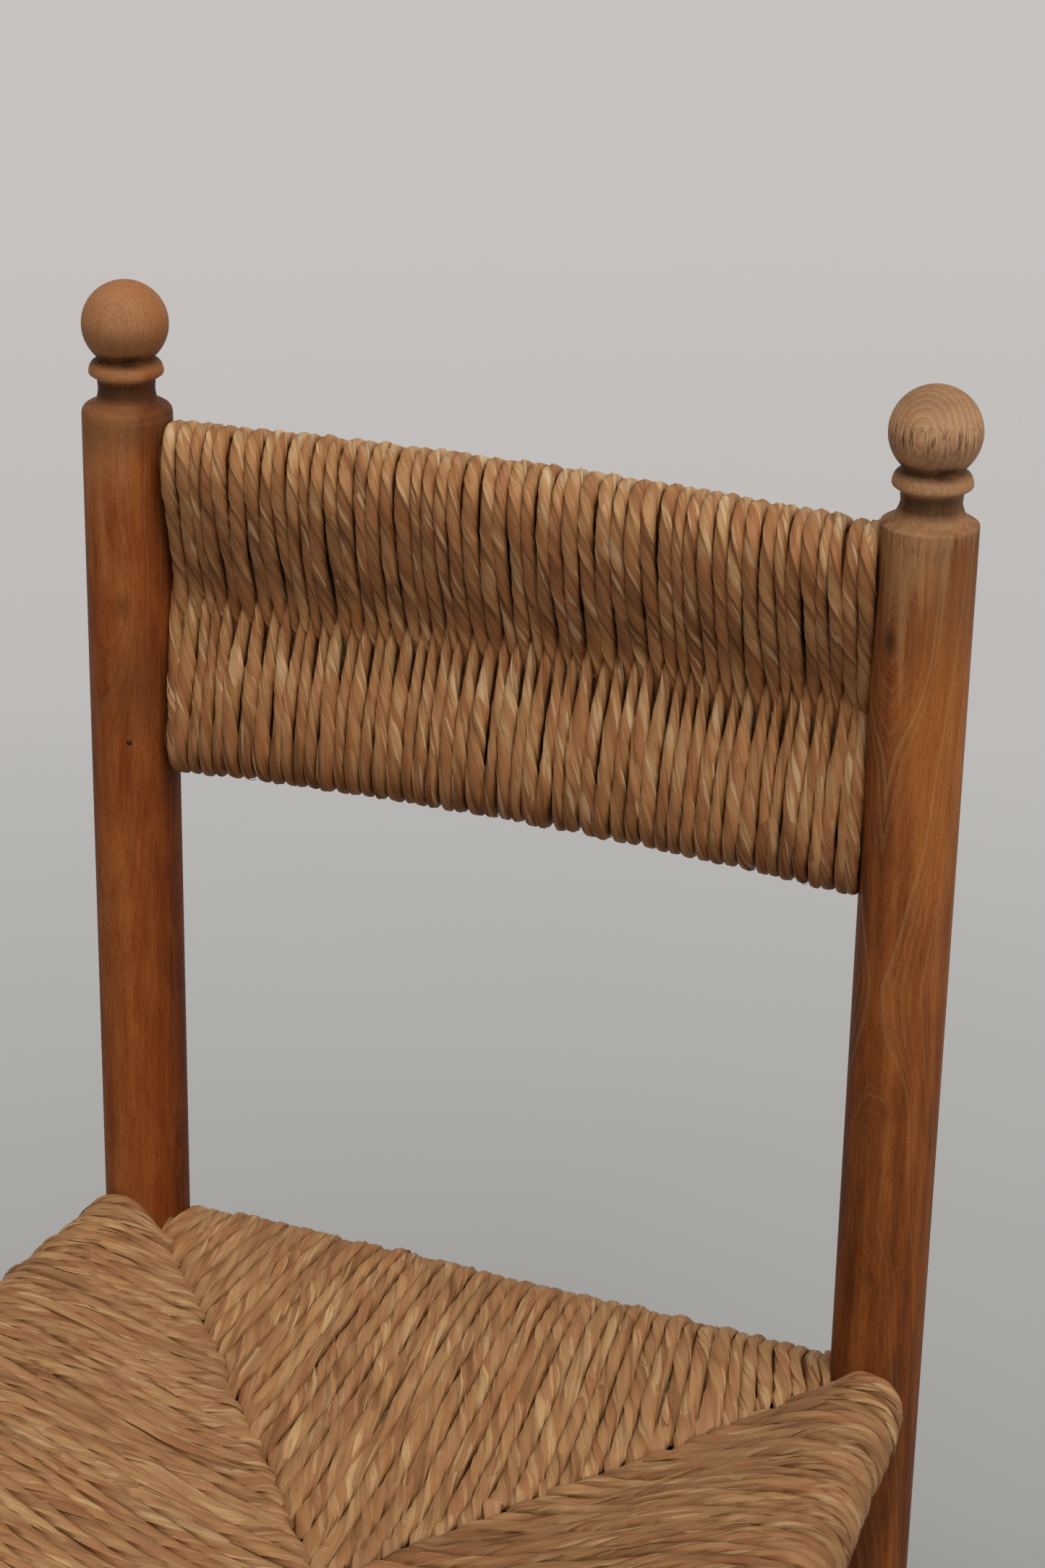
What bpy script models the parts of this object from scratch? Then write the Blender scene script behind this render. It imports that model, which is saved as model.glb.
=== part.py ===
"""A rush-seated side chair.

Two round back posts with turned ball finials lean back a little. Between them rush cord is wound
in a figure of eight round two bowed rails, and that makes the backrest. The seat is rush cord
too, wound round four rails into four panels that meet on the diagonals and sink towards the
middle, over wedges of packed straw. Seven stretchers tie the legs together.

Sizes are in metres and angles in radians. The origin is on the floor, under the middle of the
chair's outline. +Z is up and the chair faces -Y. Left and right are those of someone who looks
at its front, so left is -X.
"""

import math

import bmesh
import bpy
from mathutils import Matrix, Vector

# Clearances
FIT_GAP = 0.0003              # between any two pieces that touch
CUT_OVERRUN = 0.004           # how far a cut runs on past the surface it opens

# Back posts, turned in one piece with their finials
POST_DIAMETER = 0.040
POST_SPACING = 0.366          # between the two posts' axes
POST_RAKE = math.radians(2.54)
POST_FOOT_DIAMETER = 0.032
POST_FOOT_TAPER = 0.090       # length over which the foot widens to the full post

# Finials, from the post's shoulder upwards, measured along the post
SHOULDER_RISE = 0.3996        # above the side seat rails' axis
NECK_DIAMETER = 0.0250
NECK_COVE_HEIGHT = 0.0095     # from the shoulder to the narrowest part of the neck
COLLAR_FLARE_HEIGHT = 0.0050
COLLAR_DIAMETER = 0.0328
COLLAR_THICKNESS = 0.0070
PINCH_DIAMETER = 0.0244
PINCH_LENGTH = 0.0020
BALL_DIAMETER = 0.0381

# Front legs
LEG_DIAMETER = 0.040
LEG_SPACING = 0.426           # between the two legs' axes
LEG_FOOT_DIAMETER = 0.031
LEG_FOOT_TAPER = 0.120
LEG_TOP_RISE = 0.021          # edge of the rounded top, above the side seat rails' axis
LEG_CROWN_HEIGHT = 0.007
FOOT_CHAMFER = 0.0015

# Seat rails
SEAT_DEPTH = 0.375            # from the back posts' axes to the front legs' axes
SIDE_RAIL_HEIGHT = 0.430      # the side seat rails' axis, above the floor
END_RAIL_DROP = 0.0135        # how far the front and back seat rails lie below the side ones
SEAT_RAIL_DIAMETER = 0.024
SEAT_TENON_DIAMETER = 0.012
SEAT_TENON_LENGTH = 0.013     # short enough to clear the tenon beside it in the same post

# Seat weave and the straw that fills it
SEAT_CORD_DIAMETER = 0.0070
WEAVE_CENTRE_SETBACK = 0.190  # from the back posts' axes to the point where the seams meet
SEAM_CORNER_RISE = 0.010      # top seam at the corners, above the side seat rails' axis
SEAM_CENTRE_DROP = 0.028      # top seam in the middle, below the side seat rails' axis
UNDERSEAM_CORNER_DROP = 0.026
SEAT_CENTRE_THICKNESS = 0.019
STUFFING_SEAM_MARGIN = 0.009  # rush left between a straw wedge and the seam
STUFFING_SIDE_GAP = 0.001     # between a straw wedge and its rail

# Backrest
UPPER_RAIL_RISE = 0.3788      # rail axes above the side seat rails' axis
LOWER_RAIL_RISE = 0.2500
BACK_RAIL_DIAMETER = 0.021
BACK_RAIL_BOW = 0.011         # how far the rails bend back in the middle
BACK_TENON_DIAMETER = 0.014
BACK_TENON_LENGTH = 0.026
BACK_CORD_DIAMETER = 0.0065
WAIST_THICKNESS = 0.0115      # of the backrest, where the cords cross

# Stretchers
STRETCHER_DIAMETER = 0.0195   # in the middle
STRETCHER_TENON_DIAMETER = 0.013
STRETCHER_TENON_LENGTH = 0.013
FRONT_LOWER_HEIGHT = 0.150
FRONT_UPPER_HEIGHT = 0.290
SIDE_LOWER_HEIGHT = 0.112
SIDE_UPPER_HEIGHT = 0.248
BACK_STRETCHER_HEIGHT = 0.200

# Nail through the left post into the lower backrest rail
PIN_DIAMETER = 0.0022
PIN_LENGTH = 0.0220
PIN_SUNK = 0.0006             # head below the post's surface
PIN_TURN = math.radians(20.6)  # from straight ahead, towards the middle of the chair

# Facets and steps
POST_SIDES = 24
RAIL_SIDES = 16
STRETCHER_SIDES = 12
PIN_SIDES = 10
FOOT_STEPS = 4
COVE_STEPS = 4                # down into the neck
COLLAR_STEPS = 4              # round the collar's edge
BALL_STEPS = 9
CROWN_STEPS = 3               # of a front leg's rounded top
STRETCHER_STEPS = 8
BOW_STEPS = 12
LOBE_STEPS = 5                # round a quarter of a backrest roll
SEAM_STEPS = 7                # from a corner to the middle of the seat
PANEL_STEPS = 5               # from a seam up to its rail
ROLL_STEPS = 6                # round the outside of a seat rail
MATCH_DIGITS = 7              # decimals that make two points the same
SHARP_ANGLE = math.radians(35)

# Shares
COLLAR_FLARE_SHARE = 0.67     # of the flare's height at which half its width is reached
SEAM_START_SHARE = 0.03       # of the way from a corner to the middle, inside the post
STUFFING_START_SHARE = 0.36
BACK_END_SHARE = 0.40         # of a post's radius, where the backrest's shape ends inside it

POST_RADIUS = POST_DIAMETER / 2
LEG_RADIUS = LEG_DIAMETER / 2
SEAT_RAIL_RADIUS = SEAT_RAIL_DIAMETER / 2
BACK_RAIL_RADIUS = BACK_RAIL_DIAMETER / 2
SEAT_ROLL_RADIUS = SEAT_RAIL_RADIUS + SEAT_CORD_DIAMETER
BACK_ROLL_RADIUS = BACK_RAIL_RADIUS + BACK_CORD_DIAMETER
END_RAIL_HEIGHT = SIDE_RAIL_HEIGHT - END_RAIL_DROP
BALL_RADIUS = BALL_DIAMETER / 2
BALL_SEAT = math.sqrt(BALL_RADIUS ** 2 - (PINCH_DIAMETER / 2) ** 2)
BALL_RISE = (SHOULDER_RISE + NECK_COVE_HEIGHT + COLLAR_FLARE_HEIGHT + COLLAR_THICKNESS
             + PINCH_LENGTH + BALL_SEAT)

FRONT_REACH = SEAT_DEPTH + max(LEG_RADIUS, SEAT_ROLL_RADIUS)
BACK_REACH = max(
    UPPER_RAIL_RISE * math.tan(POST_RAKE) + BACK_RAIL_BOW + BACK_ROLL_RADIUS,
    BALL_RISE * math.sin(POST_RAKE) + BALL_RADIUS,
    SHOULDER_RISE * math.sin(POST_RAKE) + POST_RADIUS * math.cos(POST_RAKE),
)
BACK_Y = (FRONT_REACH - BACK_REACH) / 2       # the posts' axes at the side rails' height
FRONT_Y = BACK_Y - SEAT_DEPTH
CENTRE = Vector((0, BACK_Y - WEAVE_CENTRE_SETBACK, 0))

UP = Vector((0, 0, 1))
RAKED = Vector((0, math.sin(POST_RAKE), math.cos(POST_RAKE)))
LEFT = -1
RIGHT = 1


def post_point(side, height):
    """Point on a back post's axis at a height above the floor."""
    y = BACK_Y + (height - SIDE_RAIL_HEIGHT) * math.tan(POST_RAKE)
    return Vector((side * POST_SPACING / 2, y, height))


def leg_point(side, height):
    """Point on a front leg's axis at a height above the floor."""
    return Vector((side * LEG_SPACING / 2, FRONT_Y, height))


# Scene, materials and objects

def clear_scene():
    for thing in list(bpy.data.objects):
        bpy.data.objects.remove(thing, do_unlink=True)


def make_material(name, colour, roughness, metallic=0.0):
    material = bpy.data.materials.new(name)
    material.use_nodes = True
    shader = material.node_tree.nodes["Principled BSDF"]
    shader.inputs["Base Color"].default_value = (*colour, 1.0)
    shader.inputs["Roughness"].default_value = roughness
    shader.inputs["Metallic"].default_value = metallic
    material.diffuse_color = (*colour, 1.0)
    return material


def add_object(name, mesh, material=None):
    """Make an object from a bmesh, with its faces pointing out."""
    bmesh.ops.recalc_face_normals(mesh, faces=mesh.faces[:])
    data = bpy.data.meshes.new(name)
    mesh.to_mesh(data)
    mesh.free()
    thing = bpy.data.objects.new(name, data)
    bpy.context.scene.collection.objects.link(thing)
    if material:
        data.materials.append(material)
        data.shade_smooth()
        data.set_sharp_from_angle(angle=SHARP_ANGLE)
    return thing


def cut(target, cutter_name, *shapes):
    """Take shapes that don't overlap each other away from an object."""
    joined = bmesh.new()
    for shape in shapes:
        data = bpy.data.meshes.new(cutter_name)
        bmesh.ops.recalc_face_normals(shape, faces=shape.faces[:])
        shape.to_mesh(data)
        shape.free()
        joined.from_mesh(data)
        bpy.data.meshes.remove(data)
    cutter = add_object(cutter_name, joined)
    cutter.hide_render = True
    cutter.display_type = 'WIRE'
    boolean = target.modifiers.new(cutter_name, 'BOOLEAN')
    boolean.operation = 'DIFFERENCE'
    boolean.solver = 'EXACT'
    boolean.object = cutter


# Turned shapes

def blend(first, last, share):
    """Value that leaves the first and reaches the last in one even S-curve."""
    return first + (last - first) * share * share * (3 - 2 * share)


def turned(outline, sides, start, direction):
    """Closed solid turned from (radius, distance) pairs, set out from a point along a direction.

    A radius of zero at either end closes the solid in a point, any other in a flat face.
    """
    place = Matrix.Translation(start) @ direction.to_track_quat('Z', 'Y').to_matrix().to_4x4()
    mesh = bmesh.new()
    rings = []
    for radius, distance in outline:
        count = sides if radius > 0 else 1
        ring = []
        for step in range(count):
            angle = math.tau * step / count
            point = Vector((radius * math.cos(angle), radius * math.sin(angle), distance))
            ring.append(mesh.verts.new(place @ point))
        rings.append(ring)
    for lower, upper in zip(rings, rings[1:]):
        for step in range(sides):
            after = (step + 1) % sides
            corners = [lower[step % len(lower)], lower[after % len(lower)],
                       upper[after % len(upper)], upper[step % len(upper)]]
            mesh.faces.new(list(dict.fromkeys(corners)))
    if len(rings[0]) > 1:
        mesh.faces.new(list(reversed(rings[0])))
    if len(rings[-1]) > 1:
        mesh.faces.new(rings[-1])
    return mesh


def rod(radius, start, end, sides):
    """Plain round bar between two points."""
    length = (end - start).length
    return turned([(radius, 0), (radius, length)], sides, start, (end - start).normalized())


def foot_outline(foot_radius, full_radius, taper):
    """Outline of a foot that widens in a smooth curve: (radius, distance) pairs above its sole."""
    outline = []
    for step in range(FOOT_STEPS + 1):
        share = step / FOOT_STEPS
        outline.append((blend(foot_radius, full_radius, share), taper * share))
    return outline


def finial_outline():
    """Outline from the post's shoulder to the tip of the ball, measured above the shoulder."""
    neck = NECK_DIAMETER / 2
    collar = COLLAR_DIAMETER / 2
    pinch = PINCH_DIAMETER / 2
    outline = []
    for step in range(COVE_STEPS + 1):
        turn = math.pi / 2 * step / COVE_STEPS
        outline.append((neck + (POST_RADIUS - neck) * (1 - math.sin(turn)),
                        NECK_COVE_HEIGHT * (1 - math.cos(turn))))
    base = NECK_COVE_HEIGHT + COLLAR_FLARE_HEIGHT
    edge = COLLAR_THICKNESS / 2
    flare = (collar - edge - neck) / 2
    outline.append((neck + flare, NECK_COVE_HEIGHT + COLLAR_FLARE_HEIGHT * COLLAR_FLARE_SHARE))
    for step in range(COLLAR_STEPS + 1):
        turn = math.pi * step / COLLAR_STEPS - math.pi / 2
        outline.append((collar - edge + edge * math.cos(turn), base + edge + edge * math.sin(turn)))
    base += COLLAR_THICKNESS
    outline.append((pinch, base + PINCH_LENGTH / 2))
    base += PINCH_LENGTH
    middle = base + BALL_SEAT
    first = -math.atan2(BALL_SEAT, pinch)
    for step in range(BALL_STEPS):
        turn = first + (math.pi / 2 - first) * step / BALL_STEPS
        outline.append((BALL_RADIUS * math.cos(turn), middle + BALL_RADIUS * math.sin(turn)))
    outline.append((0, middle + BALL_RADIUS))
    return outline


def cut_flat_at_floor(mesh):
    """Cut a leaning post level with the floor and close it with one flat sole."""
    geometry = mesh.verts[:] + mesh.edges[:] + mesh.faces[:]
    bmesh.ops.bisect_plane(mesh, geom=geometry, plane_co=(0, 0, 0), plane_no=(0, 0, 1),
                           clear_inner=True)
    rim = [edge for edge in mesh.edges if edge.is_boundary]
    bmesh.ops.contextual_create(mesh, geom=rim)


# Joints

class Leg:
    """A round upright: its axis, its radius and the mortises to be cut in it."""

    def __init__(self, point, side, direction, radius):
        self.point = point
        self.side = side
        self.direction = direction
        self.radius = radius
        self.mortises = []
        self.object = None

    def at(self, height):
        return self.point(self.side, height)

    def shoulder(self, direction, radius):
        """Distance from the axis at which a round bar's square end just clears the upright."""
        slant = abs(direction.dot(self.direction))
        return (self.radius + radius * slant) / math.sqrt(1 - slant * slant) + FIT_GAP

    def cut_mortise(self, height, direction, radius, shoulder, depth):
        """Round blind hole for a tenon; direction points out of it, depth is below the shoulder."""
        middle = self.at(height)
        mouth = middle + direction * (shoulder + CUT_OVERRUN)
        bottom = middle + direction * (shoulder - depth - FIT_GAP)
        self.mortises.append(rod(radius + FIT_GAP, bottom, mouth, RAIL_SIDES))


def add_tenoned_bar(name, material, ends, height, outline, tenon_radius, tenon_length, sides):
    """Round bar between two uprights, with a tenon in each; outline gives its body.

    The outline holds (radius, share of the clear length) pairs from shoulder to shoulder.
    """
    first, last = ends
    start = first.at(height)
    span = last.at(height) - start
    direction = span.normalized()
    end_radius = outline[0][0]
    near = first.shoulder(direction, end_radius)
    far = last.shoulder(direction, end_radius)
    clear = span.length - near - far
    steps = [(tenon_radius, -tenon_length), (tenon_radius, 0)]
    for radius, share in outline:
        if (radius, clear * share) != steps[-1]:
            steps.append((radius, clear * share))
    if outline[-1][0] != tenon_radius:
        steps.append((tenon_radius, clear))
    steps.append((tenon_radius, clear + tenon_length))
    mesh = turned(steps, sides, start + direction * near, direction)
    first.cut_mortise(height, direction, tenon_radius, near, tenon_length)
    last.cut_mortise(height, -direction, tenon_radius, far, tenon_length)
    return add_object(name, mesh, material)


# Uprights

def add_back_post(name, leg, material):
    foot = leg.at(0)
    sunk = POST_FOOT_DIAMETER          # length below the floor that the level cut takes off
    rail_distance = SIDE_RAIL_HEIGHT / math.cos(POST_RAKE)
    outline = [(POST_FOOT_DIAMETER / 2, -sunk)]
    outline += foot_outline(POST_FOOT_DIAMETER / 2, POST_RADIUS, POST_FOOT_TAPER)
    shoulder = rail_distance + SHOULDER_RISE
    outline += [(radius, shoulder + rise) for radius, rise in finial_outline()]
    mesh = turned(outline, POST_SIDES, foot, RAKED)
    cut_flat_at_floor(mesh)
    post = add_object(name, mesh, material)
    cut(post, name + "_mortises", *leg.mortises)
    return post


def add_front_leg(name, leg, material):
    sole = LEG_FOOT_DIAMETER / 2
    outline = [(sole - FOOT_CHAMFER, 0), (sole, FOOT_CHAMFER)]
    outline += foot_outline(sole, LEG_RADIUS, LEG_FOOT_TAPER)[1:]
    edge = SIDE_RAIL_HEIGHT + LEG_TOP_RISE
    for step in range(CROWN_STEPS):
        turn = math.pi / 2 * step / CROWN_STEPS
        outline.append((LEG_RADIUS * math.cos(turn), edge + LEG_CROWN_HEIGHT * math.sin(turn)))
    outline.append((0, edge + LEG_CROWN_HEIGHT))
    thing = add_object(name, turned(outline, POST_SIDES, leg.at(0), UP), material)
    cut(thing, name + "_mortises", *leg.mortises)
    return thing


# Backrest

def clear_half_span():
    """From the middle of the chair to the backrest rails' shoulders."""
    return POST_SPACING / 2 - POST_RADIUS - FIT_GAP


def bow(x):
    """How far back the backrest bends at a distance from the middle."""
    share = min(abs(x) / clear_half_span(), 1)
    return BACK_RAIL_BOW * (1 - share * share)


def swept_across(sections):
    """Closed solid through outlines of equal length, each a list of points in a plane of one X."""
    mesh = bmesh.new()
    rings = [[mesh.verts.new(point) for point in section] for section in sections]
    for near, far in zip(rings, rings[1:]):
        for step in range(len(near)):
            after = (step + 1) % len(near)
            mesh.faces.new((near[step], near[after], far[after], far[step]))
    for ring in (rings[0], rings[-1]):
        hub = mesh.verts.new(sum((vertex.co for vertex in ring), Vector()) / len(ring))
        for step, vertex in enumerate(ring):
            mesh.faces.new((vertex, ring[(step + 1) % len(ring)], hub))
    bmesh.ops.recalc_face_normals(mesh, faces=mesh.faces[:])
    bmesh.ops.triangulate(mesh, faces=mesh.faces[:])
    return mesh


def circle_across(x, middle, radius, sides):
    points = []
    for step in range(sides):
        turn = math.tau * step / sides
        points.append((x, middle.y + radius * math.cos(turn), middle.z + radius * math.sin(turn)))
    return points


def bow_stations():
    half = clear_half_span()
    return [half * (2 * step / BOW_STEPS - 1) for step in range(BOW_STEPS + 1)]


def bowed_bar(height, radius, end_radius, end):
    """Round bar that bows back between the posts, with straight ends that run on into them."""
    level = post_point(0, height)
    stations = bow_stations()
    sections = [circle_across(x, level + Vector((0, bow(x), 0)), radius, RAIL_SIDES)
                for x in stations]
    if end_radius != radius:
        sections.insert(0, circle_across(stations[0], level, end_radius, RAIL_SIDES))
        sections.append(circle_across(stations[-1], level, end_radius, RAIL_SIDES))
    sections.insert(0, circle_across(-end, level, end_radius, RAIL_SIDES))
    sections.append(circle_across(end, level, end_radius, RAIL_SIDES))
    return swept_across(sections)


def add_backrest_rail(name, height, posts, material):
    radius = BACK_TENON_DIAMETER / 2
    end = clear_half_span() + BACK_TENON_LENGTH
    rail = add_object(name, bowed_bar(height, BACK_RAIL_RADIUS, radius, end), material)
    for post in posts:
        out = Vector((-post.side, 0, 0))
        post.cut_mortise(height, out, radius, post.shoulder(out, BACK_RAIL_RADIUS),
                         BACK_TENON_LENGTH)
    return rail


def figure_of_eight(x):
    """Outline of the wound backrest, across the chair at x: two rolls joined by a waist."""
    half_waist = WAIST_THICKNESS / 2
    drop = (UPPER_RAIL_RISE - LOWER_RAIL_RISE) / 2
    reach = math.hypot(drop, half_waist)
    quarter = math.pi - math.acos(BACK_ROLL_RADIUS / reach) - math.atan2(half_waist, drop)
    outline = []
    for rise, upright in ((UPPER_RAIL_RISE, 1), (LOWER_RAIL_RISE, -1)):
        middle = post_point(0, SIDE_RAIL_HEIGHT + rise)
        for step in range(-LOBE_STEPS, LOBE_STEPS + 1):
            turn = quarter * step / LOBE_STEPS
            outline.append((x, middle.y + bow(x) - upright * BACK_ROLL_RADIUS * math.sin(turn),
                            middle.z + upright * BACK_ROLL_RADIUS * math.cos(turn)))
        waist = post_point(0, SIDE_RAIL_HEIGHT + (UPPER_RAIL_RISE + LOWER_RAIL_RISE) / 2)
        outline.append((x, waist.y + bow(x) - upright * half_waist, waist.z))
    return outline


def add_backrest_rush(name, posts, material):
    end = POST_SPACING / 2 - POST_RADIUS * BACK_END_SHARE
    sections = [figure_of_eight(x) for x in [-end] + bow_stations() + [end]]
    rush = add_object(name, swept_across(sections), material)
    radius = BACK_RAIL_RADIUS + FIT_GAP
    tunnels = [bowed_bar(SIDE_RAIL_HEIGHT + rise, radius, radius, end + CUT_OVERRUN)
               for rise in (UPPER_RAIL_RISE, LOWER_RAIL_RISE)]
    cut(rush, name + "_rails", *tunnels)
    low = SIDE_RAIL_HEIGHT + LOWER_RAIL_RISE - BACK_ROLL_RADIUS - CUT_OVERRUN
    high = SIDE_RAIL_HEIGHT + UPPER_RAIL_RISE + BACK_ROLL_RADIUS + CUT_OVERRUN
    cut(rush, name + "_posts", *[clearance_rod(post, low, high) for post in posts])
    return rush


def clearance_rod(leg, low, high):
    """The room that an upright needs between two heights."""
    return rod(leg.radius + FIT_GAP, leg.at(low), leg.at(high), POST_SIDES)


# Seat

class Panel:
    """One quarter of the woven seat: a rail, and the two seams that run from its ends.

    The corners are the uprights' axes at the side rails' height. The rail's own axis lies beside
    the line between them by rail_shift, because a post leans.
    """

    def __init__(self, start, end, rail_height, rail_shift):
        self.start = start
        self.end = end
        self.rail_height = rail_height
        self.rail_shift = rail_shift
        self.outward = (end - start).cross(UP).normalized()

    def stations(self, first_share):
        """Pairs of the rail's corner and the share of the way from it to the middle."""
        steps = [first_share + (1 - first_share) * step / SEAM_STEPS
                 for step in range(SEAM_STEPS + 1)]
        return ([(self.start, share) for share in steps]
                + [(self.end, share) for share in reversed(steps[:-1])])

    def seam_point(self, corner, share):
        return corner.lerp(CENTRE, share)

    def rail_point(self, corner, share):
        """The point of the rail that a cord from this place on the seam lies square to."""
        line = (self.end - self.start).normalized()
        middle = self.start + line * (CENTRE - self.start).dot(line)
        return corner.lerp(middle, share) + self.rail_shift

    def top_height(self, corner, share, inward):
        """Height of the seat's surface; inward runs from 0 at the rail to 1 at the seam."""
        seam = SIDE_RAIL_HEIGHT + SEAM_CORNER_RISE * (1 - share) - SEAM_CENTRE_DROP * share
        return blend(self.rail_height + SEAT_ROLL_RADIUS, seam, inward)

    def under_height(self, corner, share, inward):
        middle = SEAM_CENTRE_DROP + SEAT_CENTRE_THICKNESS
        seam = SIDE_RAIL_HEIGHT - UNDERSEAM_CORNER_DROP * (1 - share) - middle * share
        return blend(self.rail_height - SEAT_ROLL_RADIUS, seam, inward)

    def outline(self, corner, share):
        """Section along one cord: from the top seam over the rail to the seam below."""
        seam = self.seam_point(corner, share)
        rail = self.rail_point(corner, share)
        points = []
        for step in range(PANEL_STEPS, 0, -1):
            inward = step / PANEL_STEPS
            points.append(lift(rail.lerp(seam, inward), self.top_height(corner, share, inward)))
        for step in range(ROLL_STEPS + 1):
            turn = math.pi * step / ROLL_STEPS
            out = rail + self.outward * SEAT_ROLL_RADIUS * math.sin(turn)
            points.append(lift(out, self.rail_height + SEAT_ROLL_RADIUS * math.cos(turn)))
        for step in range(1, PANEL_STEPS + 1):
            inward = step / PANEL_STEPS
            points.append(lift(rail.lerp(seam, inward), self.under_height(corner, share, inward)))
        return points

    def wedge(self, room):
        """Closed wedge of straw between the rail and the seams.

        Room widens it all round, and opens it to the rail, into the pocket that holds it.
        """
        rings = []
        for corner, share in self.stations(STUFFING_START_SHARE):
            seam = self.seam_point(corner, share)
            rail = self.rail_point(corner, share)
            reach = (seam - rail).length
            first = (SEAT_RAIL_RADIUS + STUFFING_SIDE_GAP) / reach
            last = 1 - STUFFING_SEAM_MARGIN / reach
            top = []
            under = []
            for step in range(PANEL_STEPS):
                inward = first + (last - first) * step / (PANEL_STEPS - 1)
                spot = rail.lerp(seam, inward)
                if step == PANEL_STEPS - 1:
                    spot += (seam - rail).normalized() * room
                wall = SEAT_CORD_DIAMETER + FIT_GAP - room
                top.append(lift(spot, self.top_height(corner, share, inward) - wall))
                under.append(lift(spot, self.under_height(corner, share, inward) + wall))
            if room:
                top.insert(0, lift(rail, top[0].z))
                under.insert(0, lift(rail, under[0].z))
            rings.append(top + list(reversed(under)))
        if room:
            along = (self.end - self.start).normalized() * room
            rings.insert(0, [point - along for point in rings[0]])
            rings.append([point + along for point in rings[-1]])
        return swept_across(rings)


def lift(spot, height):
    return Vector((spot.x, spot.y, height))


def seat_panels():
    """The four panels in order round the seat: back, left, front and right."""
    back_left = lift(post_point(LEFT, SIDE_RAIL_HEIGHT), 0)
    back_right = lift(post_point(RIGHT, SIDE_RAIL_HEIGHT), 0)
    front_left = lift(leg_point(LEFT, 0), 0)
    front_right = lift(leg_point(RIGHT, 0), 0)
    shift = lift(post_point(LEFT, END_RAIL_HEIGHT), 0) - back_left
    none = Vector()
    return {
        "back": Panel(back_right, back_left, END_RAIL_HEIGHT, shift),
        "left": Panel(back_left, front_left, SIDE_RAIL_HEIGHT, none),
        "front": Panel(front_left, front_right, END_RAIL_HEIGHT, none),
        "right": Panel(front_right, back_right, SIDE_RAIL_HEIGHT, none),
    }


def seat_shape(panels):
    """The woven seat's outer shape, with open corners where the uprights will be cut out."""
    mesh = bmesh.new()
    seams = {}

    def vertex(point):
        key = tuple(round(value, MATCH_DIGITS) for value in point)
        if key not in seams:
            seams[key] = mesh.verts.new(point)
        return seams[key]

    for panel in panels.values():
        rows = []
        for corner, share in panel.stations(SEAM_START_SHARE):
            rows.append([vertex(point) for point in panel.outline(corner, share)])
        for near, far in zip(rows, rows[1:]):
            for step in range(len(near) - 1):
                corners = (near[step], near[step + 1], far[step + 1], far[step])
                mesh.faces.new(list(dict.fromkeys(corners)))
        mesh.faces.new(rows[0])
        mesh.faces.new(rows[-1])
    bmesh.ops.triangulate(mesh, faces=mesh.faces[:])
    return mesh


def add_seat_rush(name, panels, legs, material):
    rush = add_object(name, seat_shape(panels), material)
    low = END_RAIL_HEIGHT - SEAT_ROLL_RADIUS - CUT_OVERRUN
    high = SIDE_RAIL_HEIGHT + SEAT_ROLL_RADIUS + CUT_OVERRUN
    cut(rush, name + "_legs", *[clearance_rod(leg, low, high) for leg in legs])
    for pair in (("left", "right"), ("front", "back")):
        tunnels = []
        for place in pair:
            panel = panels[place]
            inset = (panel.end - panel.start).normalized() * (POST_RADIUS - CUT_OVERRUN)
            start = panel.start + panel.rail_shift + inset
            end = panel.end + panel.rail_shift - inset
            tunnels.append(rod(SEAT_RAIL_RADIUS + FIT_GAP, lift(start, panel.rail_height),
                               lift(end, panel.rail_height), RAIL_SIDES))
        cut(rush, name + "_" + pair[0] + "_rails", *tunnels)
    pockets = [panel.wedge(FIT_GAP) for panel in panels.values()]
    cut(rush, name + "_pockets", *pockets)
    return rush


# Nail

def add_pin(name, post, rail, material):
    """Nail through the front of a post into the lower backrest rail's tenon."""
    middle = post.at(SIDE_RAIL_HEIGHT + LOWER_RAIL_RISE)
    out = Vector((-post.side * math.sin(PIN_TURN), -math.cos(PIN_TURN), 0))
    head = middle + out * (POST_RADIUS - PIN_SUNK)
    tip = head - out * PIN_LENGTH
    radius = PIN_DIAMETER / 2
    point_length = PIN_DIAMETER
    outline = [(0, 0), (radius, point_length), (radius, PIN_LENGTH)]
    hole_radius = radius + FIT_GAP
    hole_end = tip - out * FIT_GAP
    mouth = middle + out * (POST_RADIUS + CUT_OVERRUN)
    cut(rail, name + "_rail_hole", rod(hole_radius, hole_end, mouth, PIN_SIDES))
    cut(post.object, name + "_post_hole", rod(hole_radius, hole_end, mouth, PIN_SIDES))
    return add_object(name, turned(outline, PIN_SIDES, tip, out), material)


# Chair

def stretcher_outline():
    """A stretcher swells gently from its tenons to its middle."""
    end = STRETCHER_TENON_DIAMETER / 2
    swell = STRETCHER_DIAMETER / 2 - end
    return [(end + swell * math.sin(math.pi * step / STRETCHER_STEPS), step / STRETCHER_STEPS)
            for step in range(STRETCHER_STEPS + 1)]


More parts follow.
